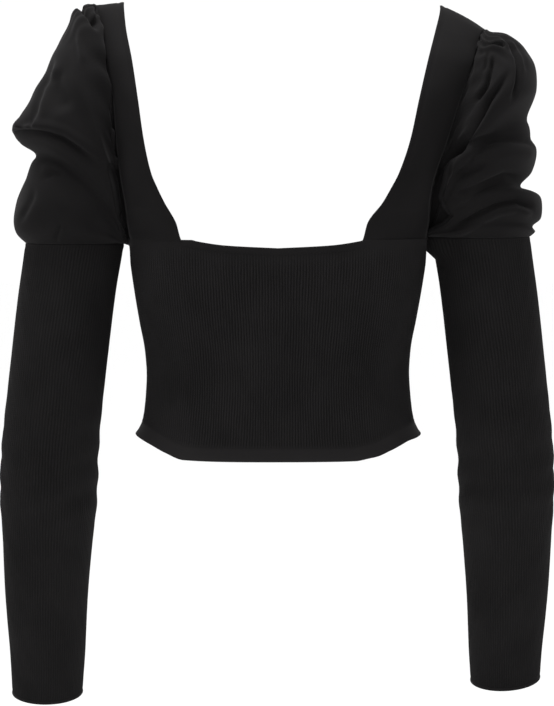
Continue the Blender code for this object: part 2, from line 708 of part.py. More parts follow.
# ---------------------------------------------------------------- button bands and buttons
def band_rows(left, right, out):
    """A strip down the middle of the front, between two distances from the centre line."""
    rows = []
    for share, rise in PANEL_ROWS:
        row = []
        for x in np.linspace(left, right, 3):
            low = edge_height(FRONT_HEM, x)
            height = low + share * (edge_height(FRONT_TOP, x) - low) + rise
            drop = max(0.0, 1.0 - (height - low) / HEM_FLARE_RISE)
            point = torso_surface_at(x, height, False)
            point[1] -= out + HEM_FLARE * drop ** 2
            row.append(point)
        rows.append(np.array(row))
    return rows


def make_bands(material, collection):
    sheet_object("band_right", band_rows(-BAND_HALF, BAND_HALF, 0.0), material, collection)
    under = -(WALL + BAND_STEP)
    sheet_object("band_left", band_rows(-BAND_HALF, BAND_HALF + BAND_TUCK, under), material, collection)


def make_buttons(material, collection):
    """Turned discs with a raised rim, standing just off the upper band."""
    low = edge_height(FRONT_HEM, 0.0) + HEM_FLARE_RISE + BUTTON_LOWEST
    high = edge_height(FRONT_TOP, 0.0) - BUTTON_HIGHEST
    middle = np.array([row[1] for row in band_rows(-BAND_HALF, BAND_HALF, 0.0)])
    for number in range(BUTTON_COUNT):
        height = low + (high - low) * number / (BUTTON_COUNT - 1)
        mesh = bpy.data.meshes.new("button")
        points = [(r * BUTTON_RADIUS * MM, 0.0, z * BUTTON_THICKNESS * MM) for r, z in BUTTON_PROFILE]
        edges = [(i, i + 1) for i in range(len(points) - 1)]
        mesh.from_pydata(points, edges, [])
        mesh.materials.append(material)
        item = bpy.data.objects.new("button_%d" % (number + 1), mesh)
        collection.objects.link(item)
        screw = item.modifiers.new("turn", "SCREW")
        screw.steps = BUTTON_STEPS
        screw.render_steps = BUTTON_STEPS
        screw.use_merge_vertices = True
        screw.merge_threshold = 0.00001
        below, above = (float(np.interp(height + step, middle[:, 2], middle[:, 1])) for step in (-3.0, 3.0))
        lean = math.atan2(below - above, 6.0)
        item.rotation_euler = (math.pi / 2.0 + lean, 0.0, 0.0)
        stand = min(below, above, (below + above) / 2.0 - BUTTON_CLEAR)
        item.location = (0.0, stand * MM, height * MM)


def build():
    clean_scene()
    collection = parts_collection("cardigan")
    rib = cloth_material("rib_knit", (0.012, 0.011, 0.012), 0.9)
    plain = cloth_material("plain_knit", (0.013, 0.012, 0.012), 0.9)
    plastic = cloth_material("button_plastic", (0.01, 0.01, 0.01), 0.3)
    make_bodice(rib, collection)
    make_straps(plain, collection)
    make_puffs(plain, collection)
    make_sleeves(rib, collection)
    make_bands(rib, collection)
    make_buttons(plastic, collection)


build()
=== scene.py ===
"""Looks of the cropped ribbed cardigan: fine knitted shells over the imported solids.

Metres, +Z up, the garment's front faces -Y and its left side is +X. Sizes and tables are in millimetres.
"""
from functools import partial
from math import acos, atan2, copysign, cos, hypot, pi, radians, sin, tau

import bmesh
import bpy
import numpy as np
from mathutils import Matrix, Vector


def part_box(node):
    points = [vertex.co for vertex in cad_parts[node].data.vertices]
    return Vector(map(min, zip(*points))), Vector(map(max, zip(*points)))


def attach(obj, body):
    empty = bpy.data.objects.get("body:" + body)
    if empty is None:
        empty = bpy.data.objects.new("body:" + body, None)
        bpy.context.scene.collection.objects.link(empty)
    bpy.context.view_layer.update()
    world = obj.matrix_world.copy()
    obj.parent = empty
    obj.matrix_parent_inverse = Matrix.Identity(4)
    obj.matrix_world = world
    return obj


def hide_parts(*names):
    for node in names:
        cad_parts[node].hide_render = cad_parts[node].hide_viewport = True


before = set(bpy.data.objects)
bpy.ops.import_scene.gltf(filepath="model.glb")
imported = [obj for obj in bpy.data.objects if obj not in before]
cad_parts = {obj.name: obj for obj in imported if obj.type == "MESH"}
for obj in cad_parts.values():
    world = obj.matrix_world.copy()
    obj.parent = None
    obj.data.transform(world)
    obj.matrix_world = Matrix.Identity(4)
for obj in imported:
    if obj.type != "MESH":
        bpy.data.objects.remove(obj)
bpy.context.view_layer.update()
scene = bpy.context.scene

MM = 0.001
SIDES = {"left": 1, "right": -1}

# ---- sizes (mm)
CLOTH = 1.3  # thickness of the shells
BAND_CLOTH = 1.2
RIB_HEIGHT = 0.8  # height of a knitted rib
RIB_PITCH = 2.3  # width of a rib on the knit map
BACK_RIBS = 150
FRONT_RIBS = 68
SLEEVE_RIBS = 100
BODY_MIDDLE = (0, 0, -300)
BODY_STEPS = 5  # points across one rib of the bodice
SLEEVE_STEPS = 4
# how far the ribs stray sideways: reach of a wave in ribs, its turn for each mm of height and each rib
BODY_STRAY = ((0.10, 0.09, 0.37), (0.05, 0.31, 1.7))
SLEEVE_STRAY = ((0.10, 0.08, 0.29), (0.06, 0.27, 1.3))

CURVES = {True: 2.6, False: 2.25}  # powers of the torso's outline, behind and in front
HEM_HALF = 125.5
TOP_HALF = 131.3
HEM_FLARE = 6  # the hem's edge stands this far out
HEM_FLARE_RISE = 20  # and the flare begins this far above it
HEM_LIFT = 2.2  # the hem's right corner is rounder, and lies this much higher
HEM_LIFT_FROM = (66, 84)  # over these distances from the centre line
HEM_LIFT_TO = (126, 112)
HEM_PLAIN = 11  # widths of the plain edges
NECK_PLAIN = 5.5
CUFF_PLAIN = 3
LIP = 0.55  # the hem and the cuff stand this far out,
HEM_ROLL = 0.35  # and their last rows this much further
CUFF_ROLL = 0.3
NECK_LIP = (0.6, 0.15)  # the neck edge's lip, between the straps and beside them
NECK_END = 0.5  # its last row lies this much lower
NECK_SPAN = (84, 76)  # where the lip changes, from the centre line
# rows of the knit at an edge: distance from the edge's plain part, share of the full rib
HEM_START = ((0, 0.35), (1.2, 0.8), (2.6, 1))
NECK_START = ((-1.4, 0.3), (-0.5, 0.15), (0.4, 0), (1.6, 0), (3, 0), (4.4, 0), (5.1, 0),
              (5.5, 0))
CUFF_START = ((0, 0.3), (0.8, 0.8), (1.8, 1))
PUFF_START = ((-2.6, 1), (-1.6, 0.9), (-0.9, 0.6), (-0.2, 0.3), (0.6, 0), (2, 0))
PANEL_ROWS = 32  # rows of ribs between the edges of a panel
SLEEVE_ROWS = 76

SHOULDER_FALL = {"left": 2, "right": 21}
SHOULDER_FROM = 0.45  # share of a strap from which its armhole edge drops
STRAP_FOOT = -204  # where a back strap's table begins
FRONT_FOOT = (-216, -214)  # a front strap's foot, at its neck and armhole edges
STRAP_BULGE = {True: 6, False: -5}  # how far the straps bulge behind and in front
STRAP_SETTLE = 0.16  # share of a strap over which it leaves the torso's surface
STRAP_BLEND = 0.08  # share of a strap over which its foot follows the bodice's edge
FOOT_DROP = 1.6  # the strap's foot passes this far below the bodice's edge
FOOT_TUCK = 0.1  # and this far behind it
STRAP_GRID = (110, 26)  # points of a strap, along and across
STRAP_MIDDLE = (110, 0, -140)  # a point inside the straps

STRAP_ROWS = 13
UNDERARM_POINTS = 7
PUFF_COLUMNS = 2 * STRAP_ROWS + 1 + UNDERARM_POINTS
PUFF_SHIFT = 4  # the puff's middle lies this far behind the garment's
PUFF_ROUND = 330  # length round a puff on the knit map
PUFF_OVERLAP = 0.45  # its last row lies this far outside the sleeve's top
PUFF_MIDDLE = (178, 4, -120)
PUFF_FINE_ROWS = 9  # steps between two sections of a puff
PUFF_FINE_COLUMNS = 7
UNDERARM_X = 131.6
UNDERARM_LIFT = 0.9
UNDERARM_DEPTH = 58
UNDERARM_CLEAR = 1.5
UNDERARM_CORNER = (134, 0, -208)
SEAM_GAP = 0.35
SEAM_DEPTH = 1.5  # how far under the surface the sewn allowances lie
SEAM_RADIUS = 1.2
SEAM_SIDES = 8
# how the first sections of a puff follow the armhole: closeness, shift outwards and to the middle
TUCK = ((0.85, 4, 3), (0.6, 8, 4), (0.3, 12, 3))
TUCK_FROM = 7  # columns from the shoulder over which that grows
TUCK_FADE = 40  # distance from the middle plane over which the shift grows

SLEEVE_FLAT = 0.98  # depth of a sleeve over its width
CUFF_TILT = {"left": 0, "right": 4}  # degrees
FOREARM_TILT = 13
CUFF_RISE = 6  # the first full row of ribs lies this far above the cuff's edge
ELBOW = (1.9, 0.55)  # place and reach of the elbow's wrinkles, in rows of SLEEVES

BAND_HALF = 9
BAND_STEP = 2.6  # the lower band lies this far behind the upper one
BAND_TUCK = 6  # and reaches this much further
BAND_GRID = (90, 46)
BAND_PITCH = 2.4  # pitch and height of a band's own ribs
BAND_RIB = 0.4
BUTTON_COUNT = 6
BUTTON_STAND = 0.55  # a button stands this far off its band
BUTTON_STEPS = 56
# radius and height along a button's turned outline, from the middle of its face to that of its back
BUTTON_OUTLINE = ((0, 1.5), (2.9, 1.5), (3.5, 1.9), (4.2, 2.3), (4.9, 2.25), (5.35, 1.75), (5.4, 1.2),
                  (5.1, 0.5), (4.6, 0.15), (0, 0.15))
STITCH_PLACE = (1.05, 1.62)  # distance of a stitch from the button's axis, and its height
STITCH_SIZE = (1.25, 0.28, 0.3)

# height, half width, depth of the back, depth of the front
HALF_WIDTH, BACK_DEPTH, FRONT_DEPTH = 1, 2, 3
TORSO = (
    (-395, 119.5, 90, 91), (-360, 117.2, 88, 89), (-343, 115.4, 86, 88), (-324, 114.4, 85, 90),
    (-304, 115.8, 87, 96), (-277, 120.8, 91, 104), (-251, 125.2, 95, 106), (-225, 128.8, 97, 99),
    (-200, 131, 97, 93),
)
# distance from the centre line, height
BACK_HEM = ((0, -393), (49, -393), (81, -392.5), (98, -387), (112, -381), (126, -376))
FRONT_HEM = ((0, -389), (50, -389), (81, -388), (98, -385), (112, -380), (126, -376))
BACK_TOP = ((0, -211.3), (45, -209), (70, -205.5), (74, -204.5), (128.8, -204.5), (131.3, -211))
FRONT_TOP = ((0, -223.5), (50, -221.5), (82, -215), (100, -213.5), (131.3, -211))
# height, then x and y of the neck edge and of the armhole edge of a back strap
BACK_STRAPS = {
    "left": (
        (-204, 81, 87, 128.4, 35.5), (-188, 88.2, 87, 130.7, 43.3), (-174, 96.1, 87, 132, 49.5),
        (-160, 102.8, 87, 134.4, 53), (-147, 107.9, 86.6, 136.2, 56), (-120, 114, 82.8, 139, 57.2),
        (-85, 119.3, 75, 141.5, 55), (-51, 125, 59.8, 148, 45.7), (-23, 131.2, 36.2, 153.5, 27.4),
        (-7, 133.5, 20, 156, 15), (-0.6, 134.3, 8, 157.5, 6), (0.6, 134.5, 0.3, 158, 0.3),
    ),
    "right": (
        (-204, 70.5, 87, 128.6, 34.5), (-188, 77.6, 87, 130.4, 43.3), (-174, 88.5, 87, 130.9, 49.3),
        (-160, 96.5, 87, 132.8, 53.5), (-147, 103, 86.2, 136.2, 55.5), (-120, 112.3, 82.8, 145.5, 57.2),
        (-85, 120.2, 75, 156, 55), (-51, 128.5, 59.8, 167, 45.7), (-23, 136.4, 36.2, 174, 25),
        (-9, 140.3, 20, 178, 14), (-3.2, 141.3, 8, 180.3, 6), (-2, 141.5, 0.3, 180.8, 0.3),
    ),
}
# height, how much further out the neck edge of a front strap lies, y of its neck and armhole edges
FRONT_STRAP = (
    (-216, 1.16, -70, -36), (-188, 1.12, -74, -42), (-160, 1.09, -75, -46), (-120, 1.075, -72, -47),
    (-85, 1.07, -64, -44), (-51, 1.06, -50, -36), (-23, 1.04, -30, -22), (-7, 1.015, -17, -13),
    (-0.8, 1.005, -7, -6), (0.6, 1, -0.3, -0.3),
)
# sections of a puff: x and z of the outermost point, depths behind and in front, angle at the underarm
PUFFS = {
    "left": (
        (168, -3, 66, 58, 87.5), (178, -8, 72, 64, 86.5), (185.5, -25, 76, 68, 85.5),
        (195.5, -43, 78, 70, 84.5), (207.5, -66, 78, 70, 83.5), (220.5, -90, 76, 69, 82.5),
        (233, -109, 72, 67, 81.5), (225, -122, 65, 62, 78), (212.5, -132, 61, 58, 73),
        (216, -141, 63, 60, 66), (225, -162, 66, 62, 55), (230.5, -182, 64, 60, 40),
        (229, -200, 55, 52, 21),
    ),
    "right": (
        (186, -26, 66, 60, 82), (201, -28, 73, 66, 81.5), (215, -39.5, 77, 70, 81),
        (224, -55, 79, 71, 80), (227, -76, 77, 70, 79), (217.5, -99, 71, 66, 78),
        (220, -110, 73, 67, 76), (226.5, -130, 73, 67, 72.5), (222.5, -147, 68, 63, 68),
        (212.5, -160, 61, 57, 63), (229, -169.5, 65, 60, 52), (230.5, -187, 62, 58, 36),
        (223.5, -195, 56, 53, 25), (225.5, -199.5, 52, 49, 14),
    ),
}
# height, x and y of a sleeve's centre, half width
SLEEVES = {
    "left": (
        (-209.5, 178.2, 6, 42.4), (-330, 194.2, 11, 42), (-425, 202, 1, 42.6), (-485, 204.6, -13, 39),
        (-614, 207.3, -44, 31.5),
    ),
    "right": (
        (-204, 177.8, 6, 42.2), (-330, 193.7, 11, 41.9), (-422, 201.1, 1, 41.8),
        (-485, 203.4, -13, 38.4), (-601.5, 204.2, -42, 31.1),
    ),
}
# folds of a puff: height of the ridge above the line, depth of the trough below it, width,
# shares of the line over which it fades in and out, and the line: distance from the centre line, height
FOLDS = {
    "left": (
        (1.4, 5.4, 5, 0.05, 0.42,
         ((233, -111), (209, -111), (198, -112), (185, -116), (169, -126), (156, -136), (146, -143))),
        (1.3, 2.8, 5, 0.25, 0.2, ((191, -46), (197, -60), (203, -74), (207, -94), (212, -106))),
        (0, 4, 7, 0.2, 0.2, ((228, -104), (218, -101), (210, -103))),
        (0, 4.4, 15, 0.2, 0.3, ((192, -58), (184, -76), (177, -96))),
        (1.3, 0.8, 3, 0.2, 0.3, ((174, -32), (171, -44), (168, -57))),
        (0, 7, 2.6, 0.1, 0.3, ((174, -2), (166, -10), (160, -19), (157, -30))),
        (0, 5, 2.2, 0.1, 0.3, ((158, -3), (158, -14), (158, -26))),
        (1.4, 2.4, 4.5, 0.3, 0.3, ((204, -151), (193, -146), (182, -147))),
        (0, 1.8, 5, 0.3, 0.3, ((227, -192), (220, -180), (214, -168), (211, -158))),
        (0.8, 2, 2.4, 0.3, 0.2, ((185, -190), (188, -198), (192, -207))),
    ),
    "right": (
        (1.2, 5.4, 2.6, 0.2, 0.2, ((184.2, -47), (181.5, -62), (178, -74), (168.7, -88))),
        (2, 6.5, 3.4, 0.25, 0.02,
         ((199, -58), (188, -74), (179, -86), (172, -100), (162, -117), (150, -129), (137, -144))),
        (1.6, 6, 3.2, 0.2, 0.3,
         ((189, -29), (197, -34), (203, -43), (205.5, -56), (204.5, -70), (198, -88))),
        (0.8, 1.8, 2.4, 0.3, 0.3, ((202.9, -33), (211, -45), (213.5, -62))),
        (0.8, 3, 1.8, 0.2, 0.3, ((180.5, -44), (178.5, -54), (176, -63))),
        (1.2, 5.5, 2.4, 0.2, 0.2, ((181, -37.5), (188, -38), (197, -39))),
        (2, 6, 8, 0.2, 0.1,
         ((141, -141), (157, -128), (172, -123.5), (187, -121), (201, -121), (226, -124))),
        (-0.5, 4.4, 7, 0.4, 0.3, ((143, -152), (157, -150), (172, -146), (184, -138))),
        (2.6, 3.6, 5, 0.2, 0.25, ((148, -168), (162, -165), (179, -159), (195, -152), (212, -154))),
        (2.6, 5.8, 4.4, 0.3, 0.1,
         ((141, -203), (150, -198), (158, -193), (173, -184), (188, -177), (205, -174), (222, -180))),
        (0, 1.4, 3, 0.3, 0.3, ((163, -193), (172, -190), (178, -192))),
    ),
}
# outer line of the dark opening between a strap and the lower puff: distance from the centre line, height
WEDGES = {
    "left": ((144.9, -145), (141.7, -158), (140, -170), (138.5, -182), (135.5, -192), (134, -204)),
    "right": ((145.7, -144), (144, -155), (140.5, -168), (144, -178), (149.5, -185), (144, -191),
              (137, -201)),
}
WEDGE_DEPTH = 15
# how the puff leaves the strap behind: depth of the groove beside the seam, swelling beyond it
SEAM_ROLL = {"left": (3.2, 5.2), "right": (0.7, 1.6)}
SEAM_FREE = (0.12, 0.5)  # turn from the shoulder over which that grows, in radians
FRONT_FOLD_SHARE = 0.8  # folds of the front stand this much of the back's
FRONT_FOLD_SHIFT = (4, 7)  # and lie this far from the back's, outwards and up
GATHERS = {"left": 9.5, "right": 7.5}  # spacing of the small gathers at the head of a puff
GATHER_HEIGHT = 1.1
GATHER_REACH = 0.28  # they run out at this part of the puff's length
PUFF_SOFT = (0.7, 0.35)  # height of the puff's slow and quick unevenness


# ---- reading of tables
def read(table, column, key):
    """Read one column of a table at a key, on a smooth curve that keeps between its rows."""
    rows = sorted(table, key=lambda row: row[0])
    xs = np.array([row[0] for row in rows], dtype=float)
    ys = np.array([row[column] for row in rows], dtype=float)
    steps = np.diff(xs)
    slopes = np.diff(ys) / steps
    tangents = np.empty_like(ys)
    tangents[0] = slopes[0]
    tangents[-1] = slopes[-1]
    for i in range(1, len(ys) - 1):
        same_way = slopes[i - 1] * slopes[i] > 0
        tangents[i] = 2 * slopes[i - 1] * slopes[i] / (slopes[i - 1] + slopes[i]) if same_way else 0
    key = np.clip(key, xs[0], xs[-1])
    i = np.clip(np.searchsorted(xs, key) - 1, 0, len(steps) - 1)
    t = (key - xs[i]) / steps[i]
    start = (1 + 2 * t) * (1 - t) ** 2 * ys[i] + t * (1 - t) ** 2 * steps[i] * tangents[i]
    end = t * t * (3 - 2 * t) * ys[i + 1] + t * t * (t - 1) * steps[i] * tangents[i + 1]
    return start + end


def read_row(table, key):
    """Every other column of a table at a key."""
    return [float(read(table, column, key)) for column in range(1, len(table[0]))]


def ease(low, high, value):
    """A smooth step from 0 at low to 1 at high."""
    t = np.clip((value - low) / (high - low), 0, 1)
    return t * t * (3 - 2 * t)


def hump(value, middle, width):
    return np.exp(-((value - middle) / width) ** 2)


def running_length(points):
    """Length along the points of a line or down each column of a grid."""
    steps = np.linalg.norm(np.diff(points, axis=0), axis=-1)
    return np.concatenate([np.zeros_like(steps[:1]), np.cumsum(steps, axis=0)])


def unit(vectors):
    return vectors / np.maximum(np.linalg.norm(vectors, axis=-1, keepdims=True), 1e-9)


def direction(points, closed, axis=0):
    """Vectors along a line of points or an axis of a grid, of any length."""
    if closed:
        return np.roll(points, -1, axis=axis) - np.roll(points, 1, axis=axis)
    return np.gradient(points, axis=axis)


def mirrored(place, side):
    """A place given for the left side, on either side."""
    return np.array(place) * (SIDES[side], 1, 1)


def turns(count):
    return np.linspace(0, tau, count, endpoint=False)


def even_resample(points, count, closed=False):
    points = np.asarray(points, dtype=float)
    if closed:
        points = np.vstack([points, points[:1]])
    lengths = running_length(points)
    ends = np.linspace(0, lengths[-1], count, endpoint=not closed)
    return np.stack([np.interp(ends, lengths, points[:, axis]) for axis in range(3)], axis=1)


# ---- objects and meshes from grids
def add_object(name, data):
    item = bpy.data.objects.new(name, data)
    scene.collection.objects.link(item)
    return item


def grid_normals(grid, closed):
    return unit(np.cross(direction(grid, closed, 1), np.gradient(grid, axis=0)))


def grid_quads(rows, columns, closed, ring=False):
    """Corners of a grid's faces: closed joins its last column to the first, and ring its last row."""
    number = np.arange(rows * columns).reshape(rows, columns)
    if closed:
        number = np.hstack([number, number[:, :1]])
    if ring:
        number = np.vstack([number, number[:1]])
    low, high = number[:-1], number[1:]
    return np.stack([low[:, :-1], low[:, 1:], high[:, 1:], high[:, :-1]], axis=2).reshape(-1, 4)


def joined_map(coords, span):
    """Map places of the faces' corners, carried on past the column where a tube closes."""
    faces = coords.reshape(-1, 4, 2)
    across = faces[..., 0]
    crosses = (across.max(axis=1) - across.min(axis=1)) > span * 0.5
    low = across < span * 0.5
    faces[..., 0] = np.where(crosses[:, None] & low, across + span, across)
    return faces.reshape(-1, 2)


def shell(name, grid, closed, uv, look, inside, thickness=CLOTH, looks=(), ribbed=None):
    """A thin shell of cloth on a grid of points in millimetres, thickened to its inside.

    looks gives each row's material (0 the shell's own, 1 the neck's, 2 the hem's), and ribbed its share of
    the full rib.
    """
    rows, columns = grid.shape[:2]
    facing = np.sum(grid_normals(grid, closed) * (grid - inside))
    quads = grid_quads(rows, columns, closed)
    if facing < 0:
        quads = quads[:, ::-1]
    mesh = bpy.data.meshes.new(name)
    mesh.from_pydata((grid.reshape(-1, 3) * MM).tolist(), [], quads.tolist())
    loops = np.empty(len(mesh.loops), dtype=np.int32)
    mesh.loops.foreach_get("vertex_index", loops)
    coords = np.array(uv, dtype=float).reshape(rows * columns, 2)[loops]
    if closed:
        coords = joined_map(coords, uv[0, -1, 0] + (uv[0, 1, 0] - uv[0, 0, 0]))
    mesh.uv_layers.new(name="knit").data.foreach_set("uv", coords.astype(np.float32).ravel())
    for kind in (look, "neck_knit", "hem_knit") if len(looks) else (look,):
        mesh.materials.append(KNIT[kind])
    if len(looks):
        between = np.minimum(looks[:-1], looks[1:]).astype(np.int32)
        mesh.polygons.foreach_set("material_index", np.repeat(between, len(quads) // (rows - 1)))
    share = np.ones(rows) if ribbed is None else np.asarray(ribbed, dtype=float)
    layer = mesh.attributes.new("ribbed", "FLOAT", "POINT")
    layer.data.foreach_set("value", np.repeat(share, columns).astype(np.float32))
    mesh.shade_smooth()
    item = add_object(name, mesh)
    solid = item.modifiers.new("cloth", "SOLIDIFY")
    solid.thickness = thickness * MM
    solid.offset = -1
    return item


# ---- materials
def node(tree, kind, **values):
    made = tree.nodes.new("ShaderNode" + kind)
    for key, value in values.items():
        setattr(made, key, value)
    return made


def set_inputs(made, values):
    for name, value in values.items():
        made.inputs[name].default_value = value


def maths(tree, operation, *values):
    made = node(tree, "Math", operation=operation)
    for socket, value in zip(made.inputs, values):
        if isinstance(value, (int, float)):
            socket.default_value = value
        else:
            tree.links.new(value, socket)
    return made.outputs[0]


def noise(tree, vector, **settings):
    made = node(tree, "TexNoise")
    set_inputs(made, settings)
    tree.links.new(vector, made.inputs["Vector"])
    return made.outputs["Fac"]


def new_material(name):
    material = bpy.data.materials.new(name)
    material.use_nodes = True
    return material, material.node_tree, material.node_tree.nodes["Principled BSDF"]


def colour_ramp(tree, tone, shader, dark, light, places=(0, 1)):
    """Colour a shader between dark and light by tone."""
    ramp = node(tree, "ValToRGB")
    for element, place, colour in zip(ramp.color_ramp.elements, places, (dark, light)):
        element.position = place
        element.color = (*colour, 1)
    tree.links.new(tone, ramp.inputs[0])
    tree.links.new(ramp.outputs[0], shader.inputs["Base Color"])


def knit_material(name, dark, light, wale, course, depth, groove, sheen, fuzz):
    """Black knit: stitches in a V along each wale, painted shade in the grooves between wales, lint, slow
    changes of tone and a sheen.
    """
    material, tree, shader = new_material(name)
    calc = partial(maths, tree)
    link = tree.links.new
    place = node(tree, "UVMap", uv_map="knit")
    split = node(tree, "SeparateXYZ")
    link(place.outputs[0], split.inputs[0])
    across = calc("FRACT", calc("DIVIDE", split.outputs[0], wale))
    fold = calc("ABSOLUTE", calc("SUBTRACT", across, 0.5))
    slanted = calc("MULTIPLY_ADD", fold, 1.1, calc("DIVIDE", split.outputs[1], course))
    stitch = calc("SINE", calc("MULTIPLY", slanted, tau))
    column = calc("COSINE", calc("MULTIPLY", fold, tau))
    loops = calc("MULTIPLY_ADD", stitch, 0.3, calc("MULTIPLY", column, 0.5))
    position = node(tree, "TexCoord").outputs["Object"]
    lint = noise(tree, position, Scale=900, Detail=3, Roughness=0.6)
    slow = noise(tree, position, Scale=22, Detail=2)
    stretch = node(tree, "VectorMath", operation="MULTIPLY")
    stretch.inputs[1].default_value = (0.45, 0.05, 1)
    link(place.outputs[0], stretch.inputs[0])
    broken = noise(tree, stretch.outputs[0], Scale=1, Detail=2)
    ribbed = node(tree, "Attribute", attribute_name="ribbed").outputs["Fac"]
    shown = calc("MULTIPLY", ribbed, calc("MULTIPLY", broken, 2))
    # painted shade: the colour darkens between two wales, where the rib grooves lie in shade; groove sets how
    # much
    painted_groove_shade = calc("MULTIPLY", column, shown)
    tone = calc("MULTIPLY_ADD", painted_groove_shade, groove, calc("MULTIPLY", lint, 0.35))
    tone = calc("MULTIPLY_ADD", slow, 0.45, tone)
    colour_ramp(tree, tone, shader, dark, light, (0.1, 0.75))
    height = calc("MULTIPLY_ADD", lint, fuzz, calc("MULTIPLY", loops, ribbed))
    bump = node(tree, "Bump")
    set_inputs(bump, {"Strength": 0.8, "Distance": depth * MM})
    link(height, bump.inputs["Height"])
    link(bump.outputs[0], shader.inputs["Normal"])
    link(calc("MULTIPLY_ADD", lint, 0.12, 0.84), shader.inputs["Roughness"])
    set_inputs(shader, {"Specular IOR Level": 0.08, "Sheen Weight": sheen})
    set_inputs(shader, {"Sheen Roughness": 0.45, "Sheen Tint": (1, 0.96, 0.98, 1)})
    return material


def plastic_material(name):
    """Black plastic, slightly clouded."""
    material, tree, shader = new_material(name)
    position = node(tree, "TexCoord").outputs["Object"]
    cloud = noise(tree, position, Scale=260, Detail=4)
    colour_ramp(tree, cloud, shader, (0.006, 0.006, 0.006), (0.022, 0.021, 0.022))
    tree.links.new(maths(tree, "MULTIPLY_ADD", cloud, 0.18, 0.22), shader.inputs["Roughness"])
    return material


# darkest and lightest colour, width and height of a stitch and depth of the bump in mm, how much painted
# shade darkens the map between two wales, sheen, share of the lint in the bump
KNITS = {
    "rib_knit": ((0.002, 0.00185, 0.0019), (0.0098, 0.0091, 0.0094), RIB_PITCH, 1.7, 0.22, 0.28, 0.02, 0.5),
    "sleeve_knit": ((0.0022, 0.002, 0.0021), (0.0092, 0.0086, 0.0088), RIB_PITCH, 1.7, 0.16, 0.19, 0.02, 0.5),
    # puff: the straps' plain knit made about 8% darker, as painted shade against the light on the puffs'
    # raised faces
    "puff_shaded_knit": ((0.0022, 0.002, 0.0021), (0.0066, 0.0061, 0.0063), 1.5, 1.2, 0.04, 0.02, 0.02, 0.6),
    "plain_knit": ((0.0024, 0.0022, 0.0023), (0.0072, 0.0066, 0.0068), 1.5, 1.2, 0.04, 0.02, 0.02, 0.6),
    "neck_knit": ((0.0028, 0.0026, 0.0027), (0.0088, 0.0081, 0.0084), 1.2, 1.5, 0.12, 0.05, 0.02, 0.5),
    "hem_knit": ((0.004, 0.0037, 0.0038), (0.0108, 0.01, 0.0103), 1.2, 1.5, 0.12, 0.08, 0.02, 0.5),
    "thread": ((0.003, 0.0028, 0.0029), (0.010, 0.0093, 0.0096), 0.5, 0.8, 0.08, 0.05, 0.03, 0.3),
}
KNIT = {name: knit_material(name + "_look", *values) for name, values in KNITS.items()}
PLASTIC = plastic_material("button_plastic_look")


# ---- ribs
def rib_profile(places):
    """Height of a rib, from 0 in the groove to 1 on its rounded crest; places counts ribs."""
    return np.abs(np.sin(pi * places)) ** 0.7


def level_normals(row, closed):
    along = direction(row, closed)
    return unit(np.stack([along[:, 1], -along[:, 0], np.zeros(len(row))], axis=1))


def ribs_of_row(row, places, ribbed, stray, phase=0):
    """Height of the ribs along a row of points, and the row's places on the knit map."""
    (reach, rise, step), (quick_reach, quick_rise, quick_step) = stray
    wander = reach * np.sin(row[:, 2] * rise + places * step + phase)
    wander = wander + quick_reach * np.sin(row[:, 2] * quick_rise + places * quick_step)
    shifted = places + wander * ribbed
    lift = RIB_HEIGHT * ribbed * rib_profile(shifted)
    return lift, np.stack([shifted * RIB_PITCH - RIB_PITCH / 2, row[:, 2]], axis=1)


# ---- bodice
def torso_points(angles, heights, out):
    """Points of the torso's outer surface: angle 0 is the left side, 90 degrees the middle of the back."""
    half_width = read(TORSO, HALF_WIDTH, heights) + out
    is_back = np.sin(angles) >= 0
    back, front = (read(TORSO, column, heights) for column in (BACK_DEPTH, FRONT_DEPTH))
    depth = np.where(is_back, back, front) + out
    power = np.where(is_back, 2 / CURVES[True], 2 / CURVES[False])
    x = half_width * np.sign(np.cos(angles)) * np.abs(np.cos(angles)) ** power
    y = depth * np.sign(np.sin(angles)) * np.abs(np.sin(angles)) ** power
    return np.stack([x, y, heights], axis=1)


def hem_flare(rise):
    return HEM_FLARE * np.maximum(0, 1 - rise / HEM_FLARE_RISE) ** 2


def torso_row(start, end, count, share, rise):
    """Points across a panel between two angles, at a share of its height and a rise above that."""
    is_back = start + end >= 0
    hem, top = (BACK_HEM, BACK_TOP) if is_back else (FRONT_HEM, FRONT_TOP)
    power = 2 / CURVES[is_back]
    angles = np.linspace(start, end, 481)
    reach = np.abs(np.cos(angles)) ** power
    low = read(hem, 1, HEM_HALF * reach)
    right = -HEM_HALF * reach * np.sign(np.cos(angles))
    low = low + HEM_LIFT * ease(*HEM_LIFT_FROM, right) * ease(*HEM_LIFT_TO, right)
    heights = low + share * (read(top, 1, TOP_HALF * reach) - low) + rise
    return even_resample(torso_points(angles, heights, hem_flare(heights - low)), count)


def panel_rows():
    """Rows of a panel from the hem up: share of its height, rise above that, share of the full rib."""
    rows = [(0, rise, 0) for rise in (0, 0.7, 2, 4, 6.5, 8.8, 10.2)]
    rows += [(0, HEM_PLAIN + rise, ribbed) for rise, ribbed in HEM_START]
    first = HEM_PLAIN + HEM_START[-1][0]
    last = NECK_PLAIN + 2.4
    for share in np.linspace(0.04, 1, PANEL_ROWS):
        rise = first * (1 - share) - last * share
        rows.append((share, rise, 1 - 0.6 * ease(0.93, 1, share)))
    return rows + [(1, rise - NECK_PLAIN, ribbed) for rise, ribbed in NECK_START]


def panel_lip(row, share, rise):
    """How far the plain edges of a panel stand out."""
    if share == 0 and rise <= HEM_PLAIN:
        return LIP + HEM_ROLL * (rise < 1)
    if share == 1 and rise > -NECK_PLAIN:
        between = ease(*NECK_SPAN, np.abs(row[:, 0]))
        return (NECK_LIP[0] - NECK_END * (rise > -0.2)) * between + NECK_LIP[1] * (1 - between)
    return 0


